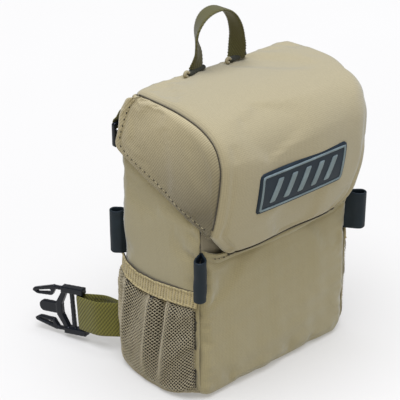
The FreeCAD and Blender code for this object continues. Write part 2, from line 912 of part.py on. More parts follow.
def make_prong(name, turn):
    """One side prong: a narrow flexing root and a wide catch with an oval window."""
    root = "(waist_reach + ear_length + prong_gap)"
    tip = "(waist_reach + prong_reach)"

    def across(value):
        return f"{turn}*({value})"

    outline = [
        (root, across("prong_root_inner")),
        (f"{root} + prong_neck", across("prong_root_inner")),
        (f"{root} + prong_bend", across("prong_bend_inner")),
        (f"{tip} - prong_nose", across("prong_nose_inner")),
        (tip, across("prong_tip_middle")),
        (f"{tip} - prong_bevel", across("prong_bevel_outer")),
        (f"{root} + prong_hook", across("prong_hook_outer")),
        (f"{root} + prong_notch", across("prong_root_outer")),
        (root, across("prong_root_outer")),
    ]
    window = [
        (f"{root} + window_root", across("window_root_inner")),
        (f"{tip} - prong_nose", across("window_nose_inner")),
        (f"{tip} - window_nose", across("window_nose_outer")),
        (f"{root} + window_root", across("window_root_outer")),
    ]
    if turn < 0:
        outline.reverse()
        window.reverse()
    return prism(name, "XZ", "-1*tongue_wall/2", "tongue_wall", outline, [window])


def make_waist_ends():
    for side, label in ((-1, "left"), (1, "right")):
        origin = (f"{side}*waist_x", "waist_y", "waist_z")
        rotation = waist_frame(side)
        loop = webbing_loop(f"waist_loop_{label}", "waist_reach", "waist_bulge")
        frame = make_waist_buckle_frame(f"waist_buckle_{label}")
        upper = make_prong(f"prong_{label}_up", 1)
        lower = make_prong(f"prong_{label}_low", -1)
        labels = {
            f"waist_webbing_{label}": loop,
            f"waist_buckle_frame_{label}": frame,
            f"buckle_prong_upper_{label}": upper,
            f"buckle_prong_lower_{label}": lower,
        }
        for name, part in labels.items():
            place_at(part, origin, rotation)
            piece(part, name)


def make_shoulder_ends():
    pitch = math.radians(size_of("shoulder_pitch"))
    across = vector(1, 0, 0)
    reach = vector(0, math.cos(pitch), -math.sin(pitch))
    for side, label in ((-1, "left"), (1, "right")):
        origin = (f"{side}*shoulder_x", "shoulder_y", "shoulder_z")
        loop = webbing_loop(f"shoulder_loop_{label}", "shoulder_reach", "shoulder_bulge")
        place_at(loop, origin, own_frame(reach, across))
        piece(loop, f"shoulder_webbing_{label}")
        top = "(lock_length/2)"
        inner_half = "(lock_half_width - lock_rail)"
        top_slot = f"({top} - lock_bar)"
        low_slot = f"({top_slot} - lock_slot - lock_middle_bar)"
        slots = [
            rectangle(f"-1*{inner_half}", f"{top_slot} - lock_slot", inner_half, top_slot),
            rectangle(f"-1*{inner_half}", f"{low_slot} - lock_thread_slot", inner_half, low_slot),
        ]
        rails = round_rectangle("lock_half_width", top, "0", "lock_corner")
        lock = prism(f"ladder_{label}", "XZ", "-1*lock_wall/2", "lock_wall", rails, slots)
        bar_y = f"shoulder_y + shoulder_reach*{math.cos(pitch):.5f}"
        bar_z = f"shoulder_z - shoulder_reach*{math.sin(pitch):.5f}"
        centre_z = f"{bar_z} - {top} + lock_bar/2"
        place_at(lock, (f"{side}*shoulder_x", bar_y, centre_z), FreeCAD.Rotation())
        piece(lock, f"shoulder_ladder_{label}")


# ---------------------------------------------------------------- checks and export


def check_document():
    doc.recompute()
    for item in doc.Objects:
        if "Invalid" in item.State or "Error" in item.State:
            raise RuntimeError(f"{item.Name} failed to build: {item.State}")
    for item in PIECES:
        shape = item.Shape
        if shape.isNull() or not shape.isValid() or shape.Volume <= 0:
            raise RuntimeError(f"{item.Label} has no valid solid")


def export_pieces():
    os.makedirs("parts", exist_ok=True)
    for item in PIECES:
        item.Shape.exportStep(os.path.join("parts", item.Label + ".step"))
        box = item.Shape.BoundBox
        print(
            f"{item.Label:28s} {item.Shape.Volume:10.1f} mm3 "
            f"x {box.XMin:7.1f} {box.XMax:7.1f}  y {box.YMin:7.1f} {box.YMax:7.1f}  "
            f"z {box.ZMin:7.1f} {box.ZMax:7.1f}"
        )


make_side_panels()
make_shell_panels()
make_padding()
make_lining()
make_front_pocket()
make_side_pockets()
make_accessory_loops()
make_hood()
make_hood_wings()
make_badge()
make_keepers()
make_carry_loop()
make_waist_ends()
make_shoulder_ends()
check_document()
export_pieces()
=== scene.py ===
"""Looks of a binocular harness pack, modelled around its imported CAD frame.

Modelling is in millimetres in the frame's axes: X to the right, Y to the back, Z up.
Meshes are scaled to metres as they are made.
"""

import json
import math

import bmesh
import bpy
import numpy as np
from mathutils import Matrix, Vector


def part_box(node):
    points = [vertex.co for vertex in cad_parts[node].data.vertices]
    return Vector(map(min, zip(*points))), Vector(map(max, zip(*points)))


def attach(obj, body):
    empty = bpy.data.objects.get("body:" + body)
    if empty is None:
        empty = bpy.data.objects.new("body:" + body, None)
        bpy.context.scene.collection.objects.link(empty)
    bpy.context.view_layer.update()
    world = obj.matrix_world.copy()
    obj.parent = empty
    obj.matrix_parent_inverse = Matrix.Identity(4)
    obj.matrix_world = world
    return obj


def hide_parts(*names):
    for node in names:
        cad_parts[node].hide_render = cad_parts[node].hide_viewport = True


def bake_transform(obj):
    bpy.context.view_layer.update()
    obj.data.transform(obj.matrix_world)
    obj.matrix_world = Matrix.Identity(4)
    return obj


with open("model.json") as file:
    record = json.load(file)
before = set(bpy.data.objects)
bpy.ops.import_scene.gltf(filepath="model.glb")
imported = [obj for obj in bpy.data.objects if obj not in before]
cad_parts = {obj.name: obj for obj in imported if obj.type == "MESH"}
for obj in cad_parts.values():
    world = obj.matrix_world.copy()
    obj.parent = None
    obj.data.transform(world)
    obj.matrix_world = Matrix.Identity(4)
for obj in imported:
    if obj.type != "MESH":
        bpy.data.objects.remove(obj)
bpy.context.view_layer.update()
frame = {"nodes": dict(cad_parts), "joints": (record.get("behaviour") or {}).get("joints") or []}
scene = bpy.context.scene
MM = 0.001
SIDES = ((-1, "left"), (1, "right"))
PACK_CORE = np.array([0, 0, 95.0])
UP, BACK = np.array([0, 0, 1.0]), np.array([0, 1.0, 0])
ARC_STEPS, CURVE_STEPS = 16, 24
RIPPLE_WAVES = 7
CLOTH_SLACK, CLOTH_STEPS = 0.02, 20


# ---- numbers and curves


def unit(vectors):
    """The same directions with length 1."""
    vectors = np.asarray(vectors, float)
    return vectors / np.maximum(np.linalg.norm(vectors, axis=-1, keepdims=True), 1e-9)


def node_box(node):
    """Lowest and highest corner of a CAD node, in millimetres."""
    low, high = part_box(node)
    return np.array(low) / MM, np.array(high) / MM


def ease(values, start, end):
    """0 before start, 1 after end and an S-curve between them."""
    share = np.clip((np.asarray(values, float) - start) / (end - start), 0, 1)
    return share * share * (3 - 2 * share)


def hump(values, middle, width):
    """A bell of height 1 round the middle."""
    return np.exp(-(((np.asarray(values, float) - middle) / width) ** 2))


def crown(places, half, power):
    """1 in the middle, falling to 0 at half a width to either side."""
    return 1 - np.abs(places / half) ** power


def ripples(u, v, wavelength, seed):
    """Smooth seeded unevenness of the given wavelength, about -1 to 1."""
    rng = np.random.default_rng(seed)
    total = 0
    for _ in range(RIPPLE_WAVES):
        angle, phase = rng.uniform(0, 2 * math.pi, 2)
        turn = 2 * math.pi / (wavelength * rng.uniform(0.7, 1.6))
        total = total + np.cos((u * math.cos(angle) + v * math.sin(angle)) * turn + phase)
    return total / (1.2 * math.sqrt(RIPPLE_WAVES))


def distances(points):
    """Distance along a polyline from its start to each of its points."""
    steps = np.linalg.norm(np.diff(points, axis=0), axis=1)
    return np.concatenate([[0], np.cumsum(steps)])


def crossed(down, across):
    """Two grids: values that change down the rows, and values that change across the columns."""
    return np.meshgrid(down, across, indexing="ij")


def stacked(*columns):
    """Points, or places on the cloth, from their coordinates."""
    return np.stack(np.broadcast_arrays(*columns), -1)


def resample(points, count):
    """The same polyline with evenly spaced points."""
    points = np.asarray(points, float)
    along = distances(points)
    wanted = np.linspace(0, along[-1], count)
    return np.stack([np.interp(wanted, along, column) for column in points.T], axis=1)


def rounded_path(corners, count):
    """Straight runs whose corners (u, v, radius) are rounded by arcs, evenly sampled."""
    points = [np.array(corners[0][:2], float)]
    for before, corner, after in zip(corners, corners[1:], corners[2:]):
        here = np.array(corner[:2], float)
        to_last = unit(np.array(before[:2], float) - here)
        to_next = unit(np.array(after[:2], float) - here)
        half = math.acos(float(np.clip(to_last @ to_next, -1, 1))) / 2
        reach = corner[2] / math.tan(half)
        centre = here + unit(to_last + to_next) * corner[2] / math.sin(half)
        first = here + to_last * reach - centre
        last = here + to_next * reach - centre
        sweep = math.pi - 2 * half
        for share in np.linspace(0, 1, ARC_STEPS):
            ahead = first * math.sin((1 - share) * sweep) + last * math.sin(share * sweep)
            points.append(centre + ahead / math.sin(sweep))
    points.append(np.array(corners[-1][:2], float))
    return resample(points, count)


def rounded_rectangle(half_u, half_v, radius, count):
    """An outline round (0, 0), from the middle of its lower side."""
    right = [(half_u, -half_v, radius), (half_u, half_v, radius)]
    left = [(-half_u, half_v, radius), (-half_u, -half_v, radius)]
    return rounded_path([(0, -half_v, 0), *right, *left, (0, -half_v, 0)], count)


def smooth_path(knots, count):
    """A Catmull-Rom curve through the knots, evenly sampled."""
    knots = np.asarray(knots, float)
    ends = [2 * knots[0] - knots[1], *knots, 2 * knots[-1] - knots[-2]]
    points = []
    for a, b, c, d in zip(ends, ends[1:], ends[2:], ends[3:]):
        for share in np.linspace(0, 1, CURVE_STEPS, endpoint=False):
            square, cube = share**2, share**3
            points.append(
                0.5 * (2 * b + (c - a) * share + (2 * a - 5 * b + 4 * c - d) * square)
                + 0.5 * (3 * b - a - 3 * c + d) * cube
            )
    points.append(knots[-1])
    return resample(points, count)


def along_tangent(points):
    """Directions along a polyline."""
    return unit(np.gradient(np.asarray(points, float), axis=0))


# ---- meshes


class Shape:
    """Collects lumps of mesh, in millimetres, and makes them one object."""

    def __init__(self):
        self.points, self.faces, self.uvs, self.marks = [], [], [], []
        self.size = 0

    def add(self, points, faces, uvs=None, mark=0):
        """Adds a lump; uvs are places on the cloth and mark is the number of its material."""
        points = np.asarray(points, float).reshape(-1, 3)
        if uvs is None:
            uvs = points[:, :2]
        self.points.append(points)
        self.uvs.append(np.asarray(uvs, float).reshape(-1, 2))
        self.faces += [tuple(int(i) + self.size for i in face) for face in faces]
        self.marks += [mark] * len(faces)
        self.size += len(points)
        return self

    def build(self, name, *materials, weld=0.0):
        """Makes the object and joins points that are closer than weld."""
        mesh = bpy.data.meshes.new(name)
        mesh.from_pydata((np.vstack(self.points) * MM).tolist(), [], self.faces)
        corners = np.zeros(len(mesh.loops), np.int32)
        mesh.loops.foreach_get("vertex_index", corners)
        layer = mesh.uv_layers.new(name="cloth")
        layer.data.foreach_set("uv", (np.vstack(self.uvs)[corners] * MM).ravel())
        for material in materials:
            mesh.materials.append(material)
        mesh.polygons.foreach_set("material_index", self.marks)
        edit = bmesh.new()
        edit.from_mesh(mesh)
        if weld:
            bmesh.ops.remove_doubles(edit, verts=edit.verts, dist=weld * MM)
        bmesh.ops.recalc_face_normals(edit, faces=edit.faces)
        edit.to_mesh(mesh)
        edit.free()
        mesh.shade_smooth()
        thing = bpy.data.objects.new(name, mesh)
        scene.collection.objects.link(thing)
        return thing


def grid_faces(rows, columns):
    """Four corners of each square of a grid of points."""
    index = np.arange(rows * columns).reshape(rows, columns)
    corners = (index[:-1, :-1], index[1:, :-1], index[1:, 1:], index[:-1, 1:])
    return np.stack(corners, -1).reshape(-1, 4)


def grid_uv(points):
    """Distance along the rows and along the columns of a grid of points."""
    down = np.linalg.norm(np.diff(points, axis=0), axis=-1).mean(axis=1)
    across = np.linalg.norm(np.diff(points, axis=1), axis=-1).mean(axis=0)
    v, u = crossed(*[np.concatenate([[0], np.cumsum(steps)]) for steps in (down, across)])
    return stacked(u, v)


def grid_normals(points, ring=False):
    """Normals of a grid; with ring, its first and last rows are the same points."""
    down = np.gradient(points, axis=0)
    if ring:
        down[0] = down[-1] = (points[1] - points[-2]) / 2
    return unit(np.cross(down, np.gradient(points, axis=1)))


def facing(points, away=None, ring=False):
    """Normals of a grid, turned to the side that away points to, or else out of the pack."""
    normals = grid_normals(points, ring)
    away = points - PACK_CORE if away is None else away
    return normals * (1 if (normals * away).sum() > 0 else -1)


def rim_loops(rows, columns, ring):
    """Rows and columns of the points along each free rim of a grid, in order."""
    if ring:
        return [(np.arange(rows), np.full(rows, column)) for column in (0, columns - 1)]
    top = [(0, c) for c in range(columns)]
    right = [(r, columns - 1) for r in range(1, rows)]
    bottom = [(rows - 1, c) for c in range(columns - 2, -1, -1)]
    left = [(r, 0) for r in range(rows - 2, -1, -1)]
    return [np.array(top + right + bottom + left).T]


def sheet(name, points, thickness, material, uvs=None, ring=False, away=None):
    """A closed solid: the grid is its outer face, with rounded rims all round."""
    rows, columns = points.shape[:2]
    uvs = grid_uv(points) if uvs is None else uvs
    normals = facing(points, away, ring)
    depth = np.broadcast_to(np.asarray(thickness, float), (rows, columns))[..., None]
    inner = points - normals * depth
    faces = grid_faces(rows, columns)
    shape = Shape().add(points, faces, uvs).add(inner, faces[:, ::-1], uvs)
    for r, c in rim_loops(rows, columns, ring):
        inside_r = r if ring else np.clip(r, 1, rows - 2)
        edge, normal, half = points[r, c], normals[r, c], depth[r, c] / 2
        outwards = edge - points[inside_r, np.clip(c, 1, columns - 2)]
        outwards = unit(outwards - normal * (outwards * normal).sum(-1, keepdims=True))
        rings = [edge]
        for angle in np.linspace(0, math.pi, 5)[1:-1]:
            bulge = outwards * half * math.sin(angle) + normal * half * math.cos(angle)
            rings.append(edge - normal * half + bulge)
        rings.append(inner[r, c])
        band_uv = np.broadcast_to(uvs[r, c], (5, len(r), 2))
        shape.add(np.stack(rings), grid_faces(5, len(r)), band_uv)
    return shape.build(name, material, weld=0.01)


def sample(grid, row, column):
    """Points of a grid at fractional rows and columns."""
    r = np.clip(np.floor(row).astype(int), 0, grid.shape[0] - 2)
    c = np.clip(np.floor(column).astype(int), 0, grid.shape[1] - 2)
    a, b = (row - r)[..., None], (column - c)[..., None]
    near = grid[r, c] * (1 - b) + grid[r, c + 1] * b
    far = grid[r + 1, c] * (1 - b) + grid[r + 1, c + 1] * b
    return near * (1 - a) + far * a


def settle(points, pressure, cap, every=3):
    """Cloth simulation of a panel sewn down all round: its swelling, up to cap, is added."""
    rows, columns = points.shape[:2]
    r = np.unique(np.r_[np.arange(0, rows, every), rows - 1])
    c = np.unique(np.r_[np.arange(0, columns, every), columns - 1])
    coarse = points[np.ix_(r, c)]
    faces = grid_faces(len(r), len(c))
    if (grid_normals(points) * facing(points)).sum() < 0:
        faces = faces[:, ::-1]
    mesh = bpy.data.meshes.new("panel")
    mesh.from_pydata((coarse.reshape(-1, 3) * MM).tolist(), [], faces.tolist())
    panel = bpy.data.objects.new("panel", mesh)
    scene.collection.objects.link(panel)
    index = np.arange(len(r) * len(c)).reshape(len(r), len(c))
    rim = np.unique(np.r_[index[0], index[-1], index[:, 0], index[:, -1]])
    panel.vertex_groups.new(name="sewn").add(rim.tolist(), 1.0, "REPLACE")
    cloth = panel.modifiers.new("cloth", "CLOTH")
    cloth.settings.vertex_group_mass = "sewn"
    cloth.settings.use_pressure = True
    cloth.settings.uniform_pressure_force = pressure
    cloth.settings.shrink_min = -CLOTH_SLACK
    cloth.settings.bending_stiffness = 2.0
    cloth.settings.effector_weights.gravity = 0
    for step in range(1, CLOTH_STEPS + 1):
        scene.frame_set(step)
    shown = panel.evaluated_get(bpy.context.evaluated_depsgraph_get()).data
    places = np.zeros(len(shown.vertices) * 3, np.float32)
    shown.vertices.foreach_get("co", places)
    moved = places.reshape(coarse.shape) / MM - coarse
    scene.frame_set(1)
    bpy.data.objects.remove(panel)
    length = np.linalg.norm(moved, axis=-1, keepdims=True)
    moved = moved * np.minimum(1, cap / np.maximum(length, 1e-6))
    row = np.interp(np.arange(rows), r, np.arange(len(r)))
    column = np.interp(np.arange(columns), c, np.arange(len(c)))
    return points + sample(moved, *crossed(row, column))


def frames_along(path, up):
    """Tangent, side and normal of a path; the side stays square to up, or turns least."""
    tangent = along_tangent(path)
    if up is not None:
        side = unit(np.cross(np.broadcast_to(up, tangent.shape), tangent))
        return tangent, side, np.cross(tangent, side)
    start = UP if abs(tangent[0][2]) < 0.8 else np.array([1.0, 0, 0])
    side = [unit(np.cross(start, tangent[0]))]
    for ahead in tangent[1:]:
        side.append(unit(side[-1] - ahead * (side[-1] @ ahead)))
    side = np.array(side)
    return tangent, side, np.cross(tangent, side)


def tube(path, radius, sides, shape=None, mark=0, flat=1.0, up=None):
    """A round-ended cord along a path; flat squeezes it along its normal."""
    shape = shape or Shape()
    path = np.asarray(path, float)
    tangent, side, normal = frames_along(path, up)
    radius = np.broadcast_to(np.asarray(radius, float), len(path))
    ends = ((0.0, 1.0), (0.5, 0.87), (0.87, 0.5), (1.0, 0.04))
    rings = [(path[0] - tangent[0] * radius[0] * a, 0, radius[0] * b) for a, b in ends[:0:-1]]
    rings += [(point, i, radius[i]) for i, point in enumerate(path)]
    rings += [(path[-1] + tangent[-1] * radius[-1] * a, -1, radius[-1] * b) for a, b in ends[1:]]
    angles = np.linspace(0, 2 * math.pi, sides + 1)
    points = []
    for centre, i, size in rings:
        round_it = np.outer(np.cos(angles), side[i]) + np.outer(np.sin(angles), normal[i]) * flat
        points.append(centre + round_it * size)
    points = np.array(points)
    uvs = grid_uv(points)
    shape.add(points, grid_faces(len(rings), sides + 1), uvs, mark)
    for row in (0, -1):
        shape.add(points[row, :-1], [tuple(range(sides))], uvs[row, :-1], mark)
    return shape


def stitch_row(shape, path, outwards, pitch, filled=0.72, radius=0.28, lift=0.25, pit_shade=None):
    """Sewing thread along a path: short humped stitches, with a dark dot of painted shade for the
    needle pit after each.
    """
    path = np.asarray(path, float)
    count = max(2, int(round(distances(path)[-1] / pitch)))
    line = resample(path, count * 8 + 1)
    out = resample(np.broadcast_to(outwards, path.shape), count * 8 + 1)
    rise = np.array([-0.7, 0.5, 1.0, 1.0, 0.5, -0.7]) * lift
    for first in range(0, count * 8, 8):
        places = first + np.linspace(0, 8 * filled, 6)
        on_line = np.stack([np.interp(places, range(len(line)), column) for column in line.T], 1)
        away = unit(out[first + 3])
        tube(on_line + np.outer(rise, away), radius, 6, shape)
        # A dark capsule on the cloth: painted shade of the needle hole.
        if pit_shade is not None:
            middle = line[first + int(4 + 4 * filled)] + away * 0.05
            ahead = unit(line[first + 8] - line[first]) * 0.25
            tube([middle - ahead, middle + ahead], radius * 1.6, 6, shape, pit_shade)
    return shape


def dress(thing, body, slot, *nodes):
    """Hangs a piece on its body and hides the CAD nodes it stands for; slot is not used."""
    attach(thing, body)
    if nodes:
        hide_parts(*nodes)
    return thing


# ---- materials


def scaled(colour, factor):
    return tuple(min(1.0, channel * factor) for channel in colour)


class Finish:
    """A short way to write a procedural material."""

    def __init__(self, name, roughness, **sockets):
        self.material = bpy.data.materials.new(name)
        self.material.use_nodes = True
        self.tree = self.material.node_tree
        self.tree.nodes.clear()
        self.shader = self.node("ShaderNodeBsdfPrincipled")
        output = self.node("ShaderNodeOutputMaterial")
        self.join(self.shader.outputs[0], output.inputs["Surface"])
        self.shader.inputs["Roughness"].default_value = roughness
        for socket, value in sockets.items():
            self.shader.inputs[socket.replace("_", " ")].default_value = value
        self.places = self.node("ShaderNodeTexCoord").outputs["Object"]

    def node(self, kind, **settings):
        made = self.tree.nodes.new(kind)
        for key, value in settings.items():
            setattr(made, key, value)
        return made

    def join(self, value, socket):
        if isinstance(value, (int, float)):
            socket.default_value = value
        elif isinstance(value, tuple):
            socket.default_value = (*value, 1)
        else:
            self.tree.links.new(value, socket)

    def maths(self, operation, *values):
        made = self.node("ShaderNodeMath", operation=operation)
        for value, socket in zip(values, made.inputs):
            self.join(value, socket)
        return made.outputs[0]

    def weighted(self, value, weight, *rest):
        """The sum of values that are each given with a weight."""
        total = self.maths("MULTIPLY", value, weight)
        for value, weight in zip(rest[::2], rest[1::2]):
            total = self.maths("MULTIPLY_ADD", value, weight, total)
        return total

    def cloth(self):
        """Distances along the cloth, in metres."""
        split = self.node("ShaderNodeSeparateXYZ")
        self.join(self.node("ShaderNodeUVMap", uv_map="cloth").outputs[0], split.inputs[0])
        return split.outputs[0], split.outputs[1]

    def wave(self, u, v, pitch, degrees):
        """A sine from 0 to 1 that repeats every pitch millimetres in the given direction."""
        turn = 2 * math.pi / (pitch * MM)
        angle = math.radians(degrees)
        across = self.maths("MULTIPLY", u, turn * math.cos(angle))
        summed = self.maths("MULTIPLY_ADD", v, turn * math.sin(angle), across)
        return self.maths("MULTIPLY_ADD", self.maths("SINE", summed), 0.5, 0.5)

    def noise(self, scale, detail, roughness=0.55):
        made = self.node("ShaderNodeTexNoise")
        made.inputs["Scale"].default_value = scale
        made.inputs["Detail"].default_value = detail
        made.inputs["Roughness"].default_value = roughness
        self.join(self.places, made.inputs["Vector"])
        return made.outputs[0]

    def ramp(self, value, *stops):
        """Colours at places from 0 to 1."""
        made = self.node("ShaderNodeValToRGB")
        elements = made.color_ramp.elements
        while len(elements) < len(stops):
            elements.new(0.5)
        for element, (place, colour) in zip(elements, stops):
            element.position = place
            element.color = (*colour, 1)
        self.join(value, made.inputs[0])
        return made.outputs[0]

    def spread(self, value, low, high):
        """Maps 0..1 to low..high."""
        return self.maths("MULTIPLY_ADD", value, high - low, low)

    def tones(self, value, colour, *stops):
        """Shades of a colour: a stop is a place from 0 to 1 and a factor."""
        return self.ramp(value, *[(place, scaled(colour, factor)) for place, factor in stops])

    def multiplied(self, first, second):
        """One colour times another."""
        made = self.node("ShaderNodeMix", data_type="RGBA", blend_type="MULTIPLY")
        for value, socket in ((1.0, 0), (first, 6), (second, 7)):
            self.join(value, made.inputs[socket])
        return made.outputs[2]

    def done(self, colour, height=None, depth=0.1, roughness=None):
        """Joins the colour, the bump height with its depth in millimetres, and the roughness."""
        self.join(colour, self.shader.inputs["Base Color"])
        if height is not None:
            bump = self.node("ShaderNodeBump")
            bump.inputs["Strength"].default_value = 1.0
            bump.inputs["Distance"].default_value = depth * MM
            self.join(height, bump.inputs["Height"])
            self.join(bump.outputs[0], self.shader.inputs["Normal"])
        if roughness is not None:
            self.join(roughness, self.shader.inputs["Roughness"])
        return self.material


def plain_cloth(name, colour, pitch=1.15, mottle=0.10):
    """A close plain weave with slight slubs and cloudy colour."""
    sheen = {"Sheen_Weight": 0.4, "Sheen_Roughness": 0.5, "Sheen_Tint": (0.85, 0.95, 1.0, 1)}
    f = Finish(name, 0.9, Specular_IOR_Level=0.2, **sheen)
    contrast = 0.26
    u, v = f.cloth()
    warp = f.wave(u, v, pitch, 0)
    weft = f.wave(u, v, pitch, 90)
    weave = f.weighted(weft, 0.5, warp, 0.5)
    slub = f.noise(900, 2.0)
    height = f.maths("MULTIPLY_ADD", slub, 0.8, weave)
    cloud = f.noise(22, 4.0, 0.6)
    shade = f.weighted(slub, contrast, weave, contrast, cloud, mottle)
    middle, light = contrast + mottle * 0.5, 2 * contrast + mottle
    colours = f.tones(shade, colour, (0.0, 0.72), (middle, 1), (light, 1.18))
    return f.done(colours, height, 0.09, f.spread(cloud, 0.82, 0.96))


def twill_cloth(name, colour, pitch, degrees, contrast, depth=0.12, cross=0.6, painted_shade=None):
    """Raised diagonal ribs crossed by finer threads; the last argument paints shade, darker towards
    the bottom and front: it is low, high and the tone at low.
    """
    f = Finish(name, 0.85, Sheen_Weight=0.2, Specular_IOR_Level=0.25)
    u, v = f.cloth()
    ribs = f.wave(u, v, pitch, degrees)
    threads = f.wave(u, v, pitch * cross, degrees + 65)
    weave = f.weighted(threads, 0.3, ribs, 0.7)
    cloud = f.noise(26, 4.0, 0.6)
    fuzz = f.noise(1400, 1.0)
    shade = f.weighted(weave, contrast, cloud, 0.35, fuzz, 0.15)
    middle = contrast * 0.5 + 0.25
    dark, light = max(0.0, middle - 0.45), min(1.0, middle + 0.4)
    colours = f.tones(shade, colour, (dark, 0.55), (middle, 1), (light, 1.3))
    # Painted shade: the colour darkens towards the bottom and front, where the wing turns away from
    # the overhead light.
    if painted_shade:
        low, high, tone = painted_shade
        place = f.node("ShaderNodeSeparateXYZ")
        f.join(f.places, place.inputs[0])
        level = f.maths("MULTIPLY_ADD", place.outputs[1], 0.35, place.outputs[2])
        level = f.maths("MULTIPLY_ADD", level, 1 / (high - low), -low / (high - low))
        shading = f.ramp(level, (0.0, (tone, tone, tone)), (1.0, (1.0, 1.0, 1.0)))
        colours = f.multiplied(colours, shading)
    height = f.maths("MULTIPLY_ADD", fuzz, 0.25, weave)
    return f.done(colours, height, depth, f.spread(cloud, 0.75, 0.92))


def dimpled_cloth(name, colour, hole_and_shade, pitch):
    """Spacer mesh: staggered dimples between raised knit threads, dark with their own colour and
    with painted shade in their hollows.
    """
    f = Finish(name, 0.9, Sheen_Weight=0.2, Specular_IOR_Level=0.2)
    u, v = f.cloth()
    across = f.maths("SINE", f.maths("MULTIPLY", u, 2 * math.pi / (pitch * MM)))
    down = f.maths("SINE", f.maths("MULTIPLY", v, 2 * math.pi / (pitch * 1.2 * MM)))
    dots = f.maths("MULTIPLY", across, down)
    fuzz = f.noise(900, 2.0)
    open_part = f.maths("MULTIPLY_ADD", fuzz, 0.25, dots)
    # The hole colour is partly painted shade in the sunken dimples.
    stops = ((0.5, colour), (0.72, scaled(colour, 0.8)), (0.84, hole_and_shade))
    colours = f.ramp(f.spread(open_part, 0.45, 0.95), *stops)
    height = f.maths("MULTIPLY", f.maths("MAXIMUM", open_part, 0.0), -1.0)
    return f.done(colours, height, 0.5)


def thread_finish(name, colour):
    """Twisted yarn: fine slanted ribs along it."""
    f = Finish(name, 0.7, Sheen_Weight=0.2, Specular_IOR_Level=0.3)
    u, v = f.cloth()
    twist = f.wave(u, v, 0.35, 55)
    grime = f.noise(300, 3.0)
    shade = f.weighted(grime, 0.5, twist, 0.5)
    colours = f.tones(shade, colour, (0.15, 0.6), (0.5, 1), (0.85, 1.25))
    return f.done(colours, twist, 0.05)


def moulded(name, colour, roughness, grain, depth, shine=0.2):
    """Moulded plastic or rubber: fine grain, with rubbed and duller patches."""
    f = Finish(name, roughness, Specular_IOR_Level=shine)
    fine = f.noise(grain, 3.0)
    worn = f.noise(90, 4.0, 0.6)
    colours = f.tones(worn, colour, (0.35, 0.8), (0.6, 1), (0.8, 1.35))
    return f.done(colours, fine, depth, f.spread(worn, roughness * 0.75, roughness * 1.25))


def ribbed_elastic(name, colour):
    """Woven elastic: fine cords across the band with short darker gaps."""
    f = Finish(name, 0.85, Sheen_Weight=0.25, Specular_IOR_Level=0.2)
    u, v = f.cloth()
    ribs = f.wave(u, v, 2.6, 4)
    cords = f.wave(u, v, 1.3, 90)
    streaks = f.noise(420, 3.0, 0.7)
    shade = f.weighted(cords, 0.2, ribs, 0.2, streaks, 0.6)
    colours = f.tones(shade, colour, (0.3, 0.5), (0.48, 1), (0.72, 1.2))
    return f.done(colours, shade, 0.4)


KHAKI = (0.361, 0.300, 0.163)
TAUPE = (0.29, 0.245, 0.155)
OLIVE = (0.135, 0.122, 0.018)
DARK_OLIVE = (0.095, 0.085, 0.024)

hood_cloth = plain_cloth("hood_cloth", scaled(KHAKI, 1.04))
body_cloth = plain_cloth("body_cloth", (0.334, 0.276, 0.135))
# Painted shade on the wings, darker towards their lower front: low, high and the tone at low.
WING_PAINTED_SHADE = (0.122, 0.185, 0.34)
wing_cloth = twill_cloth("wing_twill", scaled(KHAKI, 1.24), 1.4, 38, 0.42, painted_shade=WING_PAINTED_SHADE)
taupe_cloth = plain_cloth("taupe_cloth", TAUPE, mottle=0.16)
lining_cloth = plain_cloth("lining_cloth", (0.12, 0.115, 0.095), pitch=1.0)
band_cloth = plain_cloth("band_cloth", scaled(KHAKI, 0.98), pitch=0.9)
seam_thread = thread_finish("seam_thread", (0.050, 0.038, 0.016))
light_thread = thread_finish("light_thread", scaled(KHAKI, 1.1))
# Painted shade for the needle holes beside the stitches.
needle_pit_shade = thread_finish("painted_needle_pits", (0.045, 0.035, 0.016))
olive_thread = thread_finish("olive_thread", (0.060, 0.055, 0.014))
net_yarn = thread_finish("net_yarn", (0.45, 0.38, 0.225))
# Painted shadow: the dark sheet seen through the side nets' holes.
net_painted_shadow = dimpled_cloth("net_painted_shadow", (0.055, 0.045, 0.022), (0.014, 0.011, 0.005), 1.7)
elastic_cloth = ribbed_elastic("elastic_cloth", (0.41, 0.33, 0.155))
harness_webbing = twill_cloth("harness_webbing", OLIVE, 1.9, 50, 0.95, 0.3, 1.0)
carry_webbing = twill_cloth("carry_webbing", DARK_OLIVE, 1.6, 35, 0.8, 0.2, 0.8)
keeper_webbing = twill_cloth("keeper_webbing", (0.030, 0.030, 0.016), 1.2, 60, 0.7, 0.2, 0.8)
loop_rubber = moulded("loop_rubber", (0.014, 0.022, 0.026), 0.55, 1500, 0.03)
badge_rubber = moulded("badge_rubber", (0.014, 0.024, 0.032), 0.5, 1200, 0.03)
badge_paint = moulded("badge_paint", (0.20, 0.25, 0.245), 0.55, 900, 0.02)
buckle_plastic = moulded("buckle_plastic", (0.004, 0.006, 0.009), 0.22, 700, 0.01, shine=0.32)
pad_mesh = dimpled_cloth("pad_mesh", (0.20, 0.18, 0.12), (0.03, 0.027, 0.018), 3.0)
foam_finish = moulded("foam_cells", (0.05, 0.05, 0.05), 0.95, 2500, 0.15)
steel_finish = moulded("magnet_steel", (0.45, 0.45, 0.46), 0.3, 500, 0.01)


# ---- hood

SHELL_LOW, SHELL_HIGH = node_box("hood_shell")
HALF = SHELL_HIGH[0] - 1.3
CHAMFER_WIDTH, CHAMFER_HEIGHT, LOW_RADIUS = 16.5, 19.5, 14.0
WING_TIP_Z = 127
HOOD_TOP, HOOD_FRONT, HOOD_BACK = SHELL_HIGH[2], SHELL_LOW[1], SHELL_HIGH[1]
HOOD_BOTTOM = SHELL_LOW[2]
HOOD_ROWS, HOOD_COLUMNS = 150, 92
EDGE_ROLL, EDGE_DROP = 7.0, 3.4
RIGHT_EXTRA_ROLL, RIGHT_EXTRA_DROP = 12, 4.4
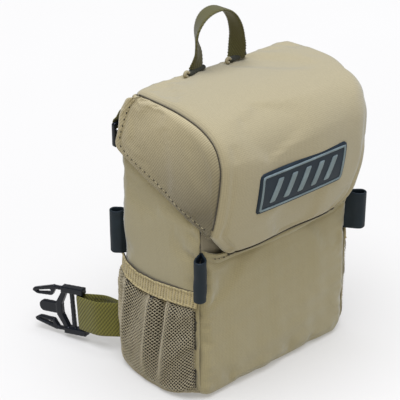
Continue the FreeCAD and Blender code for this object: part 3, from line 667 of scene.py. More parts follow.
# How far each wing's seam lies in from the top panel's edge, and how much more where it is round.
SEAM_INSET = {-1: 2.2, 1: 4.2}
EXTRA_INSET = {-1: 0.0, 1: 5.2}
HEM_Z = HOOD_BOTTOM - 3.6


def seam_profile(count):
    """Side view (y, z) of the hood where its top panel meets the wings."""
    knots = [(19.5, 201.9), (7, 202.1), (-7, 202.0), (-20.5, 201.3), (-37.0, 198.5), (-47.5, 194.3)]
    knots += [(-54.3, 188.8), (-58.4, 181.0), (-60.0, 171.5), (-58.1, 154), (-54.1, 134.8)]
    return smooth_path([*knots, (-46.5, HEM_Z)], count)


def middle_profile(count):
    """Side view (y, z) of the hood at mid-width, where the padding lifts it most."""
    knots = [(19.5, 201.9), (8, 202.6), (-8, 203.1), (-25, 202.4), (-41.0, 199.0), (-52.0, 193.6)]
    knots += [(-59.2, 184.5), (-62.0, 172), (-61.4, 152), (-57.2, 131)]
    return smooth_path([*knots, (-47.8, HEM_Z)], count)


def profile_normals(profile):
    """Normals (y, z) of a side view, turned a quarter to the right of its direction."""
    ahead = along_tangent(profile)
    return np.stack([ahead[:, 1], -ahead[:, 0]], 1)


def hood_edges(heights):
    """Half-widths on the left and right: chamfered low on the left, rounded low on the right."""
    share = np.clip((HEM_Z - heights) / CHAMFER_HEIGHT + 1, 0, 1)
    left = HALF - CHAMFER_WIDTH * share**1.1
    low = np.clip(HEM_Z + LOW_RADIUS - heights, 0, LOW_RADIUS)
    right = HALF - 0.6 - LOW_RADIUS + np.sqrt(LOW_RADIUS**2 - low**2)
    return left, right + 3.8 * ease(heights, 198.5, 202)


def roundness(profile):
    """How much rounder the right edge is than the left along the side view."""
    return ease(201.5 - profile[:, 1], 1.5, 18) * ease(profile[:, 1], 135, 172)


def hood_surface():
    """Grid of the hood's outer face, from the back edge over the front to the hem."""
    edge, middle = seam_profile(HOOD_ROWS), middle_profile(HOOD_ROWS)
    normal = profile_normals(edge)
    left, right = hood_edges(edge[:, 1])
    across = np.linspace(-1, 1, HOOD_COLUMNS)
    across = 0.75 * across + 0.25 * np.sin(across * math.pi / 2)
    x = (right - left)[:, None] / 2 + (right + left)[:, None] / 2 * across
    padding = crown(across, 1, 2.6)[None, :, None]
    flat = edge[:, None, :] + (middle - edge)[:, None, :] * padding
    width = np.minimum(x + left[:, None], right[:, None] - x)
    rounder = roundness(edge)[:, None]
    roll = np.where(x > 0, EDGE_ROLL + RIGHT_EXTRA_ROLL * rounder, EDGE_ROLL)
    deep = np.where(x > 0, EDGE_DROP + RIGHT_EXTRA_DROP * rounder, EDGE_DROP)
    near = np.clip(1 - width / roll, 0, 1)
    drop = deep * (1 - np.sqrt(1 - near**2 * 0.96)) / 0.8
    rows = np.linspace(0, 1, HOOD_ROWS)[:, None] * 150
    wander = 0.5 * ripples(x, rows, 46, 3) * np.clip(width / 18, 0, 1)
    crease = 0.7 * hump(width, 7.5, 1.6) * ease(rows, 75, 95)
    flat = flat + normal[:, None, :] * (wander - drop - crease)[..., None]
    return np.concatenate([x[..., None], flat], axis=-1)


# The badge lies on the shape from before the simulation, so that it stays even.
HOOD_SHAPE = hood_surface()
HOOD = settle(HOOD_SHAPE, pressure=1.2, cap=1.1)
HOOD_DEPTH = (2.4 + 3.2 * ease(np.arange(HOOD_ROWS)[::-1], 2, 22))[:, None]


def make_hood_cover():
    """The padded top panel, which runs from the hinge over the front to the hem."""
    flat_uv = grid_uv(HOOD)
    flat_uv[..., 0] = HOOD[..., 0]
    cover = sheet("hood_cover", HOOD, HOOD_DEPTH, hood_cloth, uvs=flat_uv)
    dress(cover, "hood", "hood_fabric", "hood_shell", "hood_foam")


def wing_outline(count, inset):
    """Back edge and slanting lower edge (y, z) of a wing, from its back top to its front tip."""
    back = [(25, 196.6, 5), (31.5, 184, 20), (32.5, 173, 18), (36.0, 160.4, 5)]
    lower = [(28, 156.3, 12), (6.4, 147, 40), (-38, 130, 60)]
    start = (HOOD_BACK - 0.6, HOOD_TOP - inset - 0.6, 0)
    tip = (HOOD_FRONT + 6.3 + inset, WING_TIP_Z, 0)
    return rounded_path([start, *back, *lower, tip], count)


def wing_seam(count, inset, side):
    """The wing's other edge (y, z), along the seam with the top panel."""
    profile = seam_profile(400)
    inset = inset + EXTRA_INSET[side] * roundness(profile)
    line = profile - profile_normals(profile) * inset[:, None]
    kept = line[(line[:, 0] < HOOD_BACK - 0.6) & (line[:, 1] > WING_TIP_Z)]
    return resample(kept, count)


def wing_surface(side):
    """Grid from the seam to the free edge, and each point's distance from the free edge."""
    rows, columns = 110, 40
    inset = SEAM_INSET[side] + 0.6
    upper, lower = wing_seam(rows, inset, side), wing_outline(rows, inset)
    share = np.linspace(0, 1, columns)[None, :, None]
    flat = upper[:, None, :] * (1 - share) + lower[:, None, :] * share
    y, z = flat[..., 0], flat[..., 1]
    span = np.linalg.norm(upper - lower, axis=1)[:, None]
    from_seam = span * share[..., 0]
    from_edge = span * (1 - share[..., 0])
    proud = 1.5 + 0.9 * (1 - np.exp(-from_seam / 1.8)) + 3.2 * (1 - np.exp(-from_seam / 15))
    proud = proud - 1.5 * ease(from_seam / (span + 1), 0.55, 1.0) * ease(-y, -25, 10)
    proud = proud + 1.0 * np.exp(-(((y - 40) / 12) ** 2) - ((z - 160) / 18) ** 2)
    back_band = ease(z + 0.35 * y, 165, 175)
    band = band_width(z)
    groove = 0.7 * hump(from_edge, band + 0.8, 1.1) * back_band
    hem_groove = 0.4 * hump(from_edge, 4.2, 0.8) * (1 - back_band)
    roll = 1.1 * hump(from_edge, band * 0.45, band * 0.4) * back_band
    step = 0.5 * (1 - ease(from_edge, 5.6, 7.0)) * (1 - back_band)
    wander = 0.35 * ripples(y, z, 30, 11) * np.clip(from_edge / 10, 0, 1)
    x = HALF - (0.6 if side < 0 else 1.6) + proud + roll + step + wander - groove - hem_groove
    points = stacked(side * x, y, z)
    return settle(points, pressure=0.8, cap=0.7), from_edge


def band_width(z):
    """Width of the puffed band along a wing's back edge: widest at the top."""
    return 4.0 + 4.2 * ease(z, 164, 188)


def grid_line(points, distance, wanted):
    """The line on a grid that keeps a distance, wanted(z), from its edge, and its normals."""
    normals = facing(points)
    line, away = [], []
    for row in range(3, len(points) - 5):
        far, goal = distance[row][::-1], wanted(points[row, -1, 2])
        if far[-1] >= goal:
            line.append([np.interp(goal, far, points[row, ::-1, k]) for k in range(3)])
            away.append([np.interp(goal, far, normals[row, ::-1, k]) for k in range(3)])
    return np.array(line), unit(away)


def make_wing(side, label):
    """A side flap of the hood with its two stitch rows."""
    points, from_edge = wing_surface(side)
    wing = sheet(f"hood_wing_panel_{label}", points, 2.4, wing_cloth, uvs=points[..., 1:])
    dress(wing, "hood", "wing_fabric", f"hood_wing_{label}")
    sewing = Shape()
    line, away = grid_line(points, from_edge, band_width)
    kept = (line[:, 1] > (-47 if side < 0 else -38)) & (line[:, 2] < 194)
    line, away = line[kept], away[kept]
    corner = int(np.argmax(line[:, 1]))
    stitch_row(sewing, line[corner:], away[corner:], 4.2, pit_shade=1)
    stitch_row(sewing, line[:corner], away[:corner], 5.0, 0.4, pit_shade=1)
    rows = sewing.build(f"hood_wing_stitching_{label}", light_thread, needle_pit_shade)
    dress(rows, "hood", "wing_fabric")


def make_hood_seam(side, label):
    """The sunken seam between the top panel and a wing."""
    line = wing_seam(160, SEAM_INSET[side], side)[2:-5]
    x = np.full(len(line), side * (HALF + (0.2 if side < 0 else -0.6)))
    seam = tube(np.column_stack([x, line]), 0.42, 8).build(f"hood_seam_{label}", seam_thread)
    dress(seam, "hood", "hood_fabric")


def make_hem_shadow_line():
    """A dark cord under the hood's hem, over its front and round its lower corners: painted shadow
    of the hem's overhang.
    """
    line = HOOD[-1, 3:-3] + (0, 1.3, -1.5)
    binding = tube(resample(line, 120), 0.6, 8).build("hood_hem_painted_shadow", seam_thread)
    dress(binding, "hood", "hood_fabric")


def make_hood_lining():
    """The thin cloth inside the hood's padding."""
    inside = (slice(0, -12), slice(3, -3))
    inner = (HOOD - facing(HOOD) * (HOOD_DEPTH[..., None] + 1.0))[inside]
    lining = sheet("hood_lining_cloth", inner, 0.9, lining_cloth)
    dress(lining, "hood", "lining_fabric", "hood_lining")


def make_hinge():
    """The cloth that joins the back panel to the hood and bends at the hinge."""
    on_hood = HOOD[7::-2, 3:-3] - facing(HOOD)[7::-2, 3:-3] * 0.3
    edge = on_hood[-1]
    fall = np.array([[0, 1.1, -1.6], [0, 2.2, -3.9], [0, 4.2, -7.8], [0, 6.2, -11.7]])
    points = np.concatenate([on_hood, edge[None] + fall[:, None, :]])
    points = np.stack([resample(points[:, c], 24) for c in range(points.shape[1])], 1)
    hinge = sheet("hood_hinge_cloth", points, 1.0, hood_cloth, away=np.array([0, 1.0, 0.5]))
    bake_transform(hinge)


make_hood_cover()
make_hem_shadow_line()
make_hood_lining()
make_hinge()
for side, label in SIDES:
    make_wing(side, label)
    make_hood_seam(side, label)


# ---- badge

BADGE_LOW, BADGE_HIGH = node_box("badge_plate")
PLATE_POINTS = 90


def on_hood_front(u, v, lift):
    """A place on the hood's front, right of the badge's middle and above it, proud by lift."""
    middle = (BADGE_LOW + BADGE_HIGH) / 2
    z = middle[2] + v
    front = HOOD_SHAPE[HOOD_ROWS // 2 :]
    centre = HOOD_COLUMNS // 2
    y = np.interp(-z, -front[:, centre, 2], front[:, centre, 1])
    side_y = np.interp(-z, -front[:, 14, 2], front[:, 14, 1])
    y = y + (side_y - y) * (np.abs(middle[0] + u) / 55) ** 2.4
    return stacked(middle[0] + u, y - lift, z)


def plate(shape, half_u, half_v, radius, steps, ring=False, slant=0.0, at=0.0):
    """A low moulded plate; a step says how far in from its outline and out of the cloth."""
    rings = []
    for inset, lift in steps:
        corner = max(radius - inset, 0.3)
        u, v = rounded_rectangle(half_u - inset, half_v - inset, corner, PLATE_POINTS).T
        rings.append(on_hood_front(at + u + v * slant, v, lift))
    if ring:
        rings.append(rings[0])
    shape.add(np.stack(rings), grid_faces(len(rings), PLATE_POINTS))
    if not ring:
        for last in (rings[0], rings[-1]):
            shape.add(last[:-1], [tuple(range(PLATE_POINTS - 1))])


def make_badge():
    """A rubber slab with a raised border and plain bars in place of its lettering."""
    half = (BADGE_HIGH - BADGE_LOW) / 2 - (1.6, 0, 0.4)
    slab = Shape()
    steps = [(0, -1.2), (0, 0.9), (0.15, 1.4), (0.6, 1.85), (1.2, 2.0)]
    steps += [(inset, 2.0) for inset in (3.0, 6.0, 9.0, 12.0, half[2] - 0.4)]
    plate(slab, half[0], half[2], 3.0, steps)
    thing = slab.build("badge_slab", badge_rubber, weld=0.01)
    dress(thing, "hood", "badge_rubber", "badge_plate")
    relief = Shape()
    border = [(1.7, 1.2), (1.75, 2.3), (2.0, 2.55), (3.0, 2.55), (3.25, 2.3), (3.3, 1.2)]
    plate(relief, half[0], half[2], 3.0, border, ring=True)
    bar = [(0, 1.2), (0.05, 2.3), (0.35, 2.55), (1.0, 2.6), (1.8, 2.6)]
    for at in (-24, -12, 0, 12, 24):
        plate(relief, 2.3, 8.0, 1.0, bar, slant=0.375, at=at)
    marks = relief.build("badge_relief_marks", badge_paint, weld=0.01)
    dress(marks, "hood", "badge_paint", "badge_relief")


# ---- body panels

SIDE_LOW, SIDE_HIGH = node_box("side_panel_left")
RIM = SIDE_HIGH[2]
BACK_Y = SIDE_HIGH[1]
FRONT_Y = SIDE_LOW[1]
BASE_RADIUS = 16.0
CORNER = 11.0
FOOT = 11.0
SIDE_HALF = 67.6
SIDE_RUN = 78.0
WALL_HALF = SIDE_HALF - 2.0
WALL_FOOT_Z = 84
POCKET_TOP = 112.2
POCKET_ROWS = 84
POCKET_CORNER = 6.5
POCKET_DROOP = 7.0
POCKET_STITCH_ROW = 81
BASE_HALF = 58.0


def body_low(y):
    """Lowest z of the body at each depth: it turns up at the back and a little at the front."""
    back = np.clip(y - (BACK_Y - BASE_RADIUS), 0, BASE_RADIUS - 0.01)
    front = np.clip(-y - 30, 0, 11)
    return BASE_RADIUS - np.sqrt(BASE_RADIUS**2 - back**2) + 0.018 * front**2


def foot_pull(z):
    """How far the sides draw in over the rounded lower edges."""
    low = np.clip(FOOT - z, 0, FOOT - 0.01)
    return FOOT - np.sqrt(FOOT**2 - low**2)


def make_side_panel(side, label):
    """A side from the front corner round to the back one, down to the rounded lower edge."""
    straight = SIDE_RUN - CORNER
    last = straight + CORNER * math.pi / 2 * 0.92
    share, run = crossed(np.linspace(0, 1, 90), np.linspace(-2.5, last, 72))
    turn = np.clip((run - straight) / CORNER, 0, None)
    y = np.minimum(FRONT_Y + 4.0 + run, BACK_Y - CORNER - 0.8) + CORNER * np.sin(turn)
    turned = CORNER * (1 - np.cos(turn))
    low = body_low(y) + 0.2
    z = low + (RIM - 14 * ease(turn, 0.15, 1.2) - low) * share
    bulge = 2.1 * crown(y, 42, 4) * ease(z, 0, 30) * (1 - ease(z, 95, 140))
    creases = 0.7 * ripples(z, y * 0.5, 9, 5) * hump(y, FRONT_Y + 5, 7) * hump(z, 112, 16)
    nearest = np.minimum(y - FRONT_Y, z - low)
    wander = 0.35 * ripples(y, z, 40, 21) * np.clip(nearest / 10, 0, 1)
    x = SIDE_HALF - turned - foot_pull(z - low) + bulge + creases + wander
    points = settle(stacked(side * x, y, z), pressure=0.5, cap=0.8)
    panel = sheet(f"side_cloth_{label}", points, 1.0, body_cloth, uvs=stacked(run, z))
    dress(panel, "pack", "side_fabric", f"side_panel_{label}")


def make_front_pocket():
    """The front slip pocket: its sides wrap round the corners and its hem is folded over."""
    straight = SIDE_HALF - POCKET_CORNER
    z, across = crossed(np.linspace(0, POCKET_TOP, POCKET_ROWS), np.linspace(-1, 1, 110))
    tail = 5.0 * ease(-z, -78, -72) + 0.6
    half_run = straight + POCKET_CORNER * math.pi / 2 + tail
    run = half_run * across
    t = np.clip(run / 72.0, -1, 1)
    droop = POCKET_DROOP * ease(1 - np.abs(t), 0.03, 0.3)
    z = z * (POCKET_TOP - droop) / POCKET_TOP + 0.2
    turn = np.clip((np.abs(run) - straight) / POCKET_CORNER, 0, math.pi / 2)
    past = np.clip(np.abs(run) - (half_run - tail), 0, None)
    x = np.minimum(np.abs(run), straight) + POCKET_CORNER * np.sin(turn) + 0.15 * past
    x = np.sign(run) * x * (1 - foot_pull(z) / SIDE_HALF)
    back = POCKET_CORNER * (1 - np.cos(turn)) + past
    under = 3.6 * np.clip(1 - z / 4.0, 0, 1) ** 2.2
    bulge = 2.6 * crown(t, 1, 3) * (0.45 + 0.55 * hump(z, 35, 45)) * np.clip(z / 8, 0, 1)
    inner = np.clip(1 - turn / 1.2, 0, 1)
    wander = 0.5 * ripples(x, z, 44, 31) + 0.2 * ripples(x, z, 18, 33)
    puckers = 0.5 * ripples(z, x * 0.4, 8, 37) * hump(np.abs(x), 63, 6)
    hem_z = POCKET_TOP - 6.0 - droop
    hem = 0.9 * ease(z, hem_z + 0.3, hem_z + 1.4) - 0.4 * hump(z, hem_z, 0.8)
    y = FRONT_Y - 0.4 + back + under - (bulge + wander + puckers + hem) * inner
    points = settle(stacked(x, y, z), pressure=0.6, cap=0.9)
    panel = sheet("front_pocket_cloth", points, 1.6, body_cloth, uvs=stacked(run, z))
    dress(panel, "pack", "front_fabric", "front_pocket_panel", "front_pocket_hem")
    sewing = Shape()
    row = points[POCKET_STITCH_ROW]
    for shown in (row[row[:, 0] < -44][9:], row[row[:, 0] > 54][:-9]):
        stitch_row(sewing, shown + (0, -0.15, 0), np.array([0, -1.0, 0.2]), 3.9, pit_shade=1)
    stitches = sewing.build("front_pocket_stitching", light_thread, needle_pit_shade)
    dress(stitches, "pack", "front_fabric")


def make_front_wall():
    """The front wall behind the slip pocket, dished in from the side seams."""
    z, x = crossed(np.linspace(WALL_FOOT_Z, RIM, 40), np.linspace(-WALL_HALF, WALL_HALF, 60))
    nearest = WALL_HALF - np.abs(x)
    dish = 0.6 * ease(nearest, 0, 14) + 1.2 * ease(nearest, 22, 36)
    points = stacked(x, FRONT_Y + 1.1 + dish + 0.3 * ripples(x, z, 30, 41), z)
    wall = sheet("front_wall_cloth", points, 1.0, taupe_cloth, uvs=points[..., ::2])
    dress(wall, "pack", "wall_fabric", "front_wall")


def make_base():
    """The underside: flat in the middle and turned up at its front edge and its back curve."""
    y, t = crossed(np.linspace(FRONT_Y + 3.0, BACK_Y - 15, 60), np.linspace(-1, 1, 80))
    x = BASE_HALF * t
    z = 0.3 + 0.6 * np.abs(t) ** 8 + 0.25 * (1 + ripples(x, y, 30, 45)) * t**2
    base = sheet("base_cloth", stacked(x, y, z), 1.0, body_cloth, away=-UP)
    dress(base, "pack", "base_fabric", "base_panel")


def back_profile(count):
    """Side view (y, z) of the back panel, from under the base to the hood hinge."""
    under, hinge = (BACK_Y - BASE_RADIUS - 2, 0.6, 0), (HOOD_BACK + 1.2, 199.0, 0)
    upright = [(BACK_Y + 0.2, 0.6, BASE_RADIUS), (BACK_Y + 0.2, 160, 14)]
    return rounded_path([under, *upright, hinge], count)


def make_back_panel():
    """The back panel; its upright edges lie under the side panels' rounded ones."""
    path = back_profile(90)
    height, t = crossed(path[:, 1], np.linspace(-1, 1, 70))
    half = 62.0 - foot_pull(np.clip(height * 0.6, 0, None)) * 0.7 + 5.0 * ease(height, 166, 185)
    x = half * t
    drop = 2.6 * np.clip(1 - (half - np.abs(x)) / 8, 0, 1) ** 2
    puff = 0.6 * crown(t, 1, 4) + 0.3 * ripples(x, height, 36, 51)
    flat = path[:, None, :] + profile_normals(path)[:, None, :] * (puff - drop)[..., None]
    points = np.concatenate([x[..., None], flat], -1)
    panel = sheet("back_cloth", points, 1.2, body_cloth, uvs=stacked(x, height))
    dress(panel, "pack", "back_fabric", "back_panel")


def make_back_pad():
    """A spacer-mesh pad with two sewn channels, swollen between its seams."""
    low, high = node_box("back_pad")
    middle, half = (low + high) / 2, (high - low) / 2
    outline = rounded_rectangle(half[0] - 1, half[2] - 1, 14, 120)
    shrink = np.linspace(1, 0.02, 26)[:, None]
    u, v = outline[:, 0] * shrink, outline[:, 1] * shrink
    nearest = (1 - shrink) * min(half[0], half[2])
    pillow = 5.2 * (1 - np.exp(-nearest / 5))
    channels = 2.6 * sum(hump(u, place, 2.6) for place in (-20, 20)) * ease(nearest, 3, 10)
    y = BACK_Y + 1.2 + pillow - channels + 0.25 * ripples(u, v, 22, 61)
    points = np.stack([u, y, v + middle[2]], -1)
    pad = sheet("back_pad_mesh", points, 1.6, pad_mesh, uvs=stacked(u, v))
    dress(pad, "pack", "back_mesh", "back_pad")
    ring = [(x, BACK_Y + 1.6, z + middle[2]) for x, z in outline]
    piping = tube(ring, 1.5, 10).build("back_pad_piping", band_cloth)
    dress(piping, "pack", "back_fabric")


def make_compartment():
    """The lining tub and the bound rim that closes the padded walls."""
    half_x, front, back = 62.4, -28.4, 36.2
    middle_y, half_y = (front + back) / 2, (back - front) / 2
    outline = rounded_rectangle(half_x, half_y, 9, 121)
    wall_rows = 40
    heights = np.concatenate([np.linspace(RIM - 1, 9, wall_rows), [7.6, 6.8, 6.5, 6.4, 6.4]])
    shrink = np.concatenate([np.ones(wall_rows), [0.985, 0.96, 0.9, 0.5, 0.02]])
    x = np.outer(outline[:, 0], shrink)
    y = np.outer(outline[:, 1], shrink) + middle_y
    z = np.broadcast_to(heights, x.shape)
    lean = np.clip(y - (back - np.clip(z - 158, 0, 40) * 0.5), 0, None)
    wander = 0.4 * ripples(x + y, z, 34, 71) * (np.abs(x) > 50)
    points = stacked(x + wander * np.sign(x), y - lean, z)
    tub = sheet("compartment_lining_cloth", points, 0.9, lining_cloth, ring=True)
    foams = ("side_foam_left", "side_foam_right", "front_foam", "back_foam", "base_foam")
    dress(tub, "pack", "lining_fabric", "compartment_lining", *foams)
    rim = [(u * 1.035, min(v * 1.05 + middle_y, 26.5), RIM) for u, v in outline]
    binding = tube(resample(rim, 160), 3.0, 12).build("compartment_rim_binding", band_cloth)
    dress(binding, "pack", "lining_fabric")


make_badge()
for side, label in SIDES:
    make_side_panel(side, label)
make_front_pocket()
make_front_wall()
make_base()
make_back_panel()
make_back_pad()
make_compartment()


# ---- side mesh pockets

# Place along the side, width and height of each fold in the net.
FOLDS = ((33, 3.2, -1.8), (25, 3.4, 2.4), (12, 6, -1.0))
FOLDS += ((-1, 3.4, 3.4), (-11, 3.2, -3.6), (-19, 4, 1.8))
# Places (y, z) on the top edge of the elastic.
TOP_KNOTS = ((-42, 83.0), (-35, 82.2), (-17, 79.2), (-0.4, 76.2))
TOP_KNOTS += ((16.7, 75.2), (34, 78.4), (42, 80.5))
NET_PITCH, NET_YARN = 2.45, 0.72
NET_HEIGHT = 66
ELASTIC = 11.5
NET_ROWS, NET_COLUMNS = 60, 112
POCKET_END = 40.2


def elastic_top(y):
    places, heights = zip(*TOP_KNOTS)
    return np.interp(y, places, heights)


def pocket_surface(side):
    """Grid of a mesh pocket: out from under the base, round its full foot and up to the elastic."""
    start, full_top, flat_top = (56, 0.9, 0), (73.4, NET_HEIGHT, 0), (69.8, NET_HEIGHT, 0)
    full = rounded_path([start, (78.2, 0.7, 3), (78.6, 24, 60), full_top], NET_ROWS)
    flat = rounded_path([start, (68.0, 0.9, 10), (68.4, 30, 60), flat_top], NET_ROWS)
    y = np.tile(np.linspace(-POCKET_END + 2.0, POCKET_END, NET_COLUMNS), (NET_ROWS, 1))
    middle = crown(y - 1, 41, 3.2).clip(0, 1)
    x = flat[:, :1] + (full - flat)[:, :1] * middle
    rise = (flat[:, 1:] + (full - flat)[:, 1:] * middle) / NET_HEIGHT
    low = body_low(y) + 1.5 * (1 - middle)
    z = low + rise * (elastic_top(y) - ELASTIC + 1.0 - low)
    pull = ease(y, 31, POCKET_END) * (0.8 + 5.0 * ease(-z, -30, 0) + 2.0 * ease(z, 56, 68))
    folds = sum(height * hump(y + 0.04 * (z - 60), place, width) for place, width, height in FOLDS)
    height = np.clip(rise * 3.5, 0.15, 1) * (0.5 + 0.5 * hump(rise, 0.75, 0.5))
    gathered = folds * height * np.clip(middle * 1.8, 0, 1)
    ledge = 1.2 * hump(rise, 1.0, 0.05)
    points = stacked(side * (x + gathered - pull - ledge), y, z)
    return settle(points, pressure=0.5, cap=0.8, every=2)


def make_mesh_pocket(side, label):
    """Diamonds of net whose edges become real strands, over a dark sheet that paints the shadow
    behind the net.
    """
    points = pocket_surface(side)
    along = distances(points[:, NET_COLUMNS // 2])
    width = 2 * POCKET_END - 2.0
    keys, faces = {}, []
    for i in range(1, int(2 * width / NET_PITCH)):
        for j in range(1, int(2 * along[-1] / NET_PITCH)):
            if (i + j) % 2 == 0:
                knots = ((i - 1, j), (i, j - 1), (i + 1, j), (i, j + 1))
                faces.append([keys.setdefault(knot, len(keys)) for knot in knots])
    places = np.array(list(keys)) * NET_PITCH / 2
    row = np.interp(places[:, 1], along, np.arange(NET_ROWS))
    column = places[:, 0] / width * (NET_COLUMNS - 1)
    out = facing(points)
    shape = Shape().add(sample(points + out * 0.5, row, column), faces, places)
    net = shape.build(f"side_net_{label}", net_yarn)
    wire = net.modifiers.new("strands", "WIREFRAME")
    wire.thickness = NET_YARN * MM
    wire.use_even_offset = False
    wire.use_relative_offset = False
    apply_modifiers(net)
    dress(net, "pack", "pocket_mesh", f"mesh_pocket_{label}")
    # A dark sheet just behind the net: painted shadow showing through its holes.
    name, behind = f"side_net_painted_shadow_{label}", points - out * 1.3
    shadow_sheet = sheet(name, behind, 0.4, net_painted_shadow, uvs=points[..., 1:])
    dress(shadow_sheet, "pack", "pocket_mesh")


def make_elastic(side, label):
    """The gathered elastic top of a mesh pocket: corded edges, a ribbed middle and a dark seam."""
    share, y = crossed(np.linspace(0, 1, 29), np.linspace(-38.8, 38.4, 320))
    ribs = 0.2 * np.sin(y * 2 * math.pi / 2.6 + 0.5 * np.sin(y * 0.45))
    bow = 69.6 + 3.4 * crown(y - 1, 41, 3) - 2.6 * ease(y, 27, 39)
    edge = hump(share, 0.06, 0.07) + hump(share, 0.93, 0.07)
    middle = 1 - np.clip(edge * 1.3, 0, 1)
    z = elastic_top(y) - ELASTIC * share + 0.2 * np.sin(y * 1.1) * middle
    x = bow + edge + ribs * middle - 1.4 * (1 - share) ** 2 - 0.4 * share**4
    points = stacked(side * x, y, z)
    band = sheet(f"elastic_hem_{label}", points, 1.5, elastic_cloth, uvs=points[..., 1:])
    dress(band, "pack", "elastic_band", f"pocket_elastic_{label}")
    line = points[0, ::4] + (-side * 0.5, 0, 0.3)
    seam = tube(line, 0.45, 6).build(f"elastic_seam_{label}", seam_thread)
    dress(seam, "pack", "elastic_band")


def apply_modifiers(thing):
    """Replaces the mesh by what its modifiers make of it."""
    depsgraph = bpy.context.evaluated_depsgraph_get()
    made = bpy.data.meshes.new_from_object(thing.evaluated_get(depsgraph))
    thing.modifiers.clear()
    old, thing.data = thing.data, made
    bpy.data.meshes.remove(old)
    thing.data.shade_smooth()


for side, label in SIDES:
    make_mesh_pocket(side, label)
    make_elastic(side, label)


# ---- webbing and rubber loops

TAPE_HALF = 12.5
# The joint at each strap's bar, then the fold, slack and tuck of its tape.
HARNESS_ENDS = {
    "waist": ("waist_buckle_pivot", 2.6, 6.0, 3.0),
    "shoulder": ("ladder_pivot", 2.9, 4.0, 1.4),
}


def webbing(name, path, across, half_width, thickness, material, scallop=0.0):
    """A woven tape along a path: across is its width direction at each point."""
    path = np.asarray(path, float)
    across = unit(np.broadcast_to(across, path.shape))
    along, places = crossed(distances(path), np.linspace(-1, 1, 15))
    edge = np.clip((np.abs(places) - 0.84) / 0.16, 0, 1)
    normal = unit(np.cross(along_tangent(path), across))
    width = half_width + scallop * np.sin(along * 2 * math.pi / 1.9)
    depth = thickness * (1 - 0.44 * edge)
    points = path[:, None, :] + across[:, None, :] * (places * width)[..., None]
    points = points + normal[:, None, :] * depth[..., None] / 2
    uvs = stacked(places * half_width, along)
    return sheet(name, points, depth, material, uvs=uvs, away=normal[:, None, :])


def joint_named(name):
    """Place in millimetres and axis of a joint."""
    joint = next(j for j in frame["joints"] if j["name"] == name)
    return np.array(joint["pos_m"], float) / MM, unit(joint["axis"])


def make_carry_loop():
    """The carry loop stands up from its keepers with a half twist, as in use."""
    low, high = node_box("loop_keeper_left")
    left = [(-20.4, 204.6), (-18.9, 209.5), (-18.3, 214.5), (-19.2, 220), (-19.9, 226)]
    top = [(-18.8, 231.6), (-15.6, 236.8), (-10.6, 240.2), (-4, 241.4), (2.6, 240.0), (8.6, 235.8)]
    right = [(12.8, 229.6), (15, 222.4), (15.7, 215.5), (15.6, 209.5), (15.0, 204.6)]
    path = smooth_path([(x, (low[1] + high[1]) / 2, z) for x, z in left + top + right], 170)
    shares, degrees = (0, 0.18, 0.33, 0.5, 0.72, 0.85, 1), (0, 45, 68, 90, 98, 108, 152)
    turn = np.radians(np.interp(np.linspace(0, 1, len(path)), shares, degrees))
    across = stacked(np.cos(turn), np.sin(turn), np.zeros_like(turn))
    ahead = along_tangent(path)
    across = unit(across - ahead * (across * ahead).sum(-1, keepdims=True))
    loop = webbing("carry_webbing_loop", path, across, 5.6, 1.9, carry_webbing, scallop=0.3)
    dress(loop, "carry_loop", "carry_webbing", "carry_loop")


def make_keepers():
    """Flattened dark rolls that hold the carry loop's feet, and the pale folds beside them."""
    curl = [(0, 0, 0), (-1.8, 0, 1.6), (-3.6, -0.2, 1.3), (-4.2, -0.4, -0.2), (-2.6, -0.4, -1.0)]
    for label in ("left", "right"):
        low, high = node_box(f"loop_keeper_{label}")
        x, y, z = (low[0] + high[0]) / 2, (low[1] + high[1]) / 2, low[2] + 2.2
        path = smooth_path([(low[0], y - 0.6, z), (x, y, z + 0.5), (high[0], y + 0.4, z + 0.9)], 30)
        roll = tube(path, 2.3, 16, flat=0.7, up=UP).build(f"rolled_keeper_{label}", keeper_webbing)
        dress(roll, "hood", "loop_rubber", f"loop_keeper_{label}")
        path = smooth_path(np.array([low[0] - 0.4, y - 1.2, z + 0.2]) + curl, 24)
        fold = tube(path, 1.15, 10, up=BACK).build(f"loop_end_fold_{label}", band_cloth)
        dress(fold, "hood", "carry_webbing", *(["loop_tails"] if label == "left" else []))


# How far each corner loop stands out, its lower and its upper end; then where its root is.
LOOP_RUNS = {
    "front_left": (13.0, 81.8, 109.4),
    "front_right": (14.4, 83.6, 109.4),
    "back_left": (12.0, 80.4, 110.4),
    "back_right": (12.0, 81.0, 110.0),
}
LOOP_ROOTS = {"front": (66.0, -39.6), "back": (63.2, 36.4)}


def make_accessory_loops():
    """Rubberised tape folded into a tear-drop that stands out of each corner seam."""
    for place, (length, low, high) in LOOP_RUNS.items():
        end, label = place.split("_")
        side = -1 if label == "left" else 1
        root_x, root_y = LOOP_ROOTS[end]
        out = np.array([side, np.sign(root_y)]) / math.sqrt(2)
        square = np.array([-out[1], out[0]])
        half = [(-1.2, -0.9), (2.2, -2.2), (length - 7, -3.9), (length - 2.4, -3.7)]
        tear = smooth_path([*half, (length, 0), *[(a, -b) for a, b in reversed(half)]], 64)
        reach, heights = crossed(tear[:, 0], np.linspace(low, high, 24))
        spread = tear[:, 1:] + np.zeros_like(reach)
        sag = spread + 0.35 * ripples(reach, heights + spread, 16, 81 + side)
        cut = 0.9 * np.clip(1 - reach / 6, 0, 1) * np.sign(heights - heights.mean())
        x = side * root_x + reach * out[0] + sag * square[0]
        y = root_y + reach * out[1] + sag * square[1]
        points = stacked(x, y, heights + cut)
        away = np.outer(spread, [*square, 0]) + np.outer(reach - length * 0.6, [*out, 0])
        away = away.reshape(points.shape)
        loop = sheet(f"corner_loop_{place}", points, 1.3, loop_rubber, away=away)
        dress(loop, "pack", "loop_rubber", f"accessory_loop_{place}")


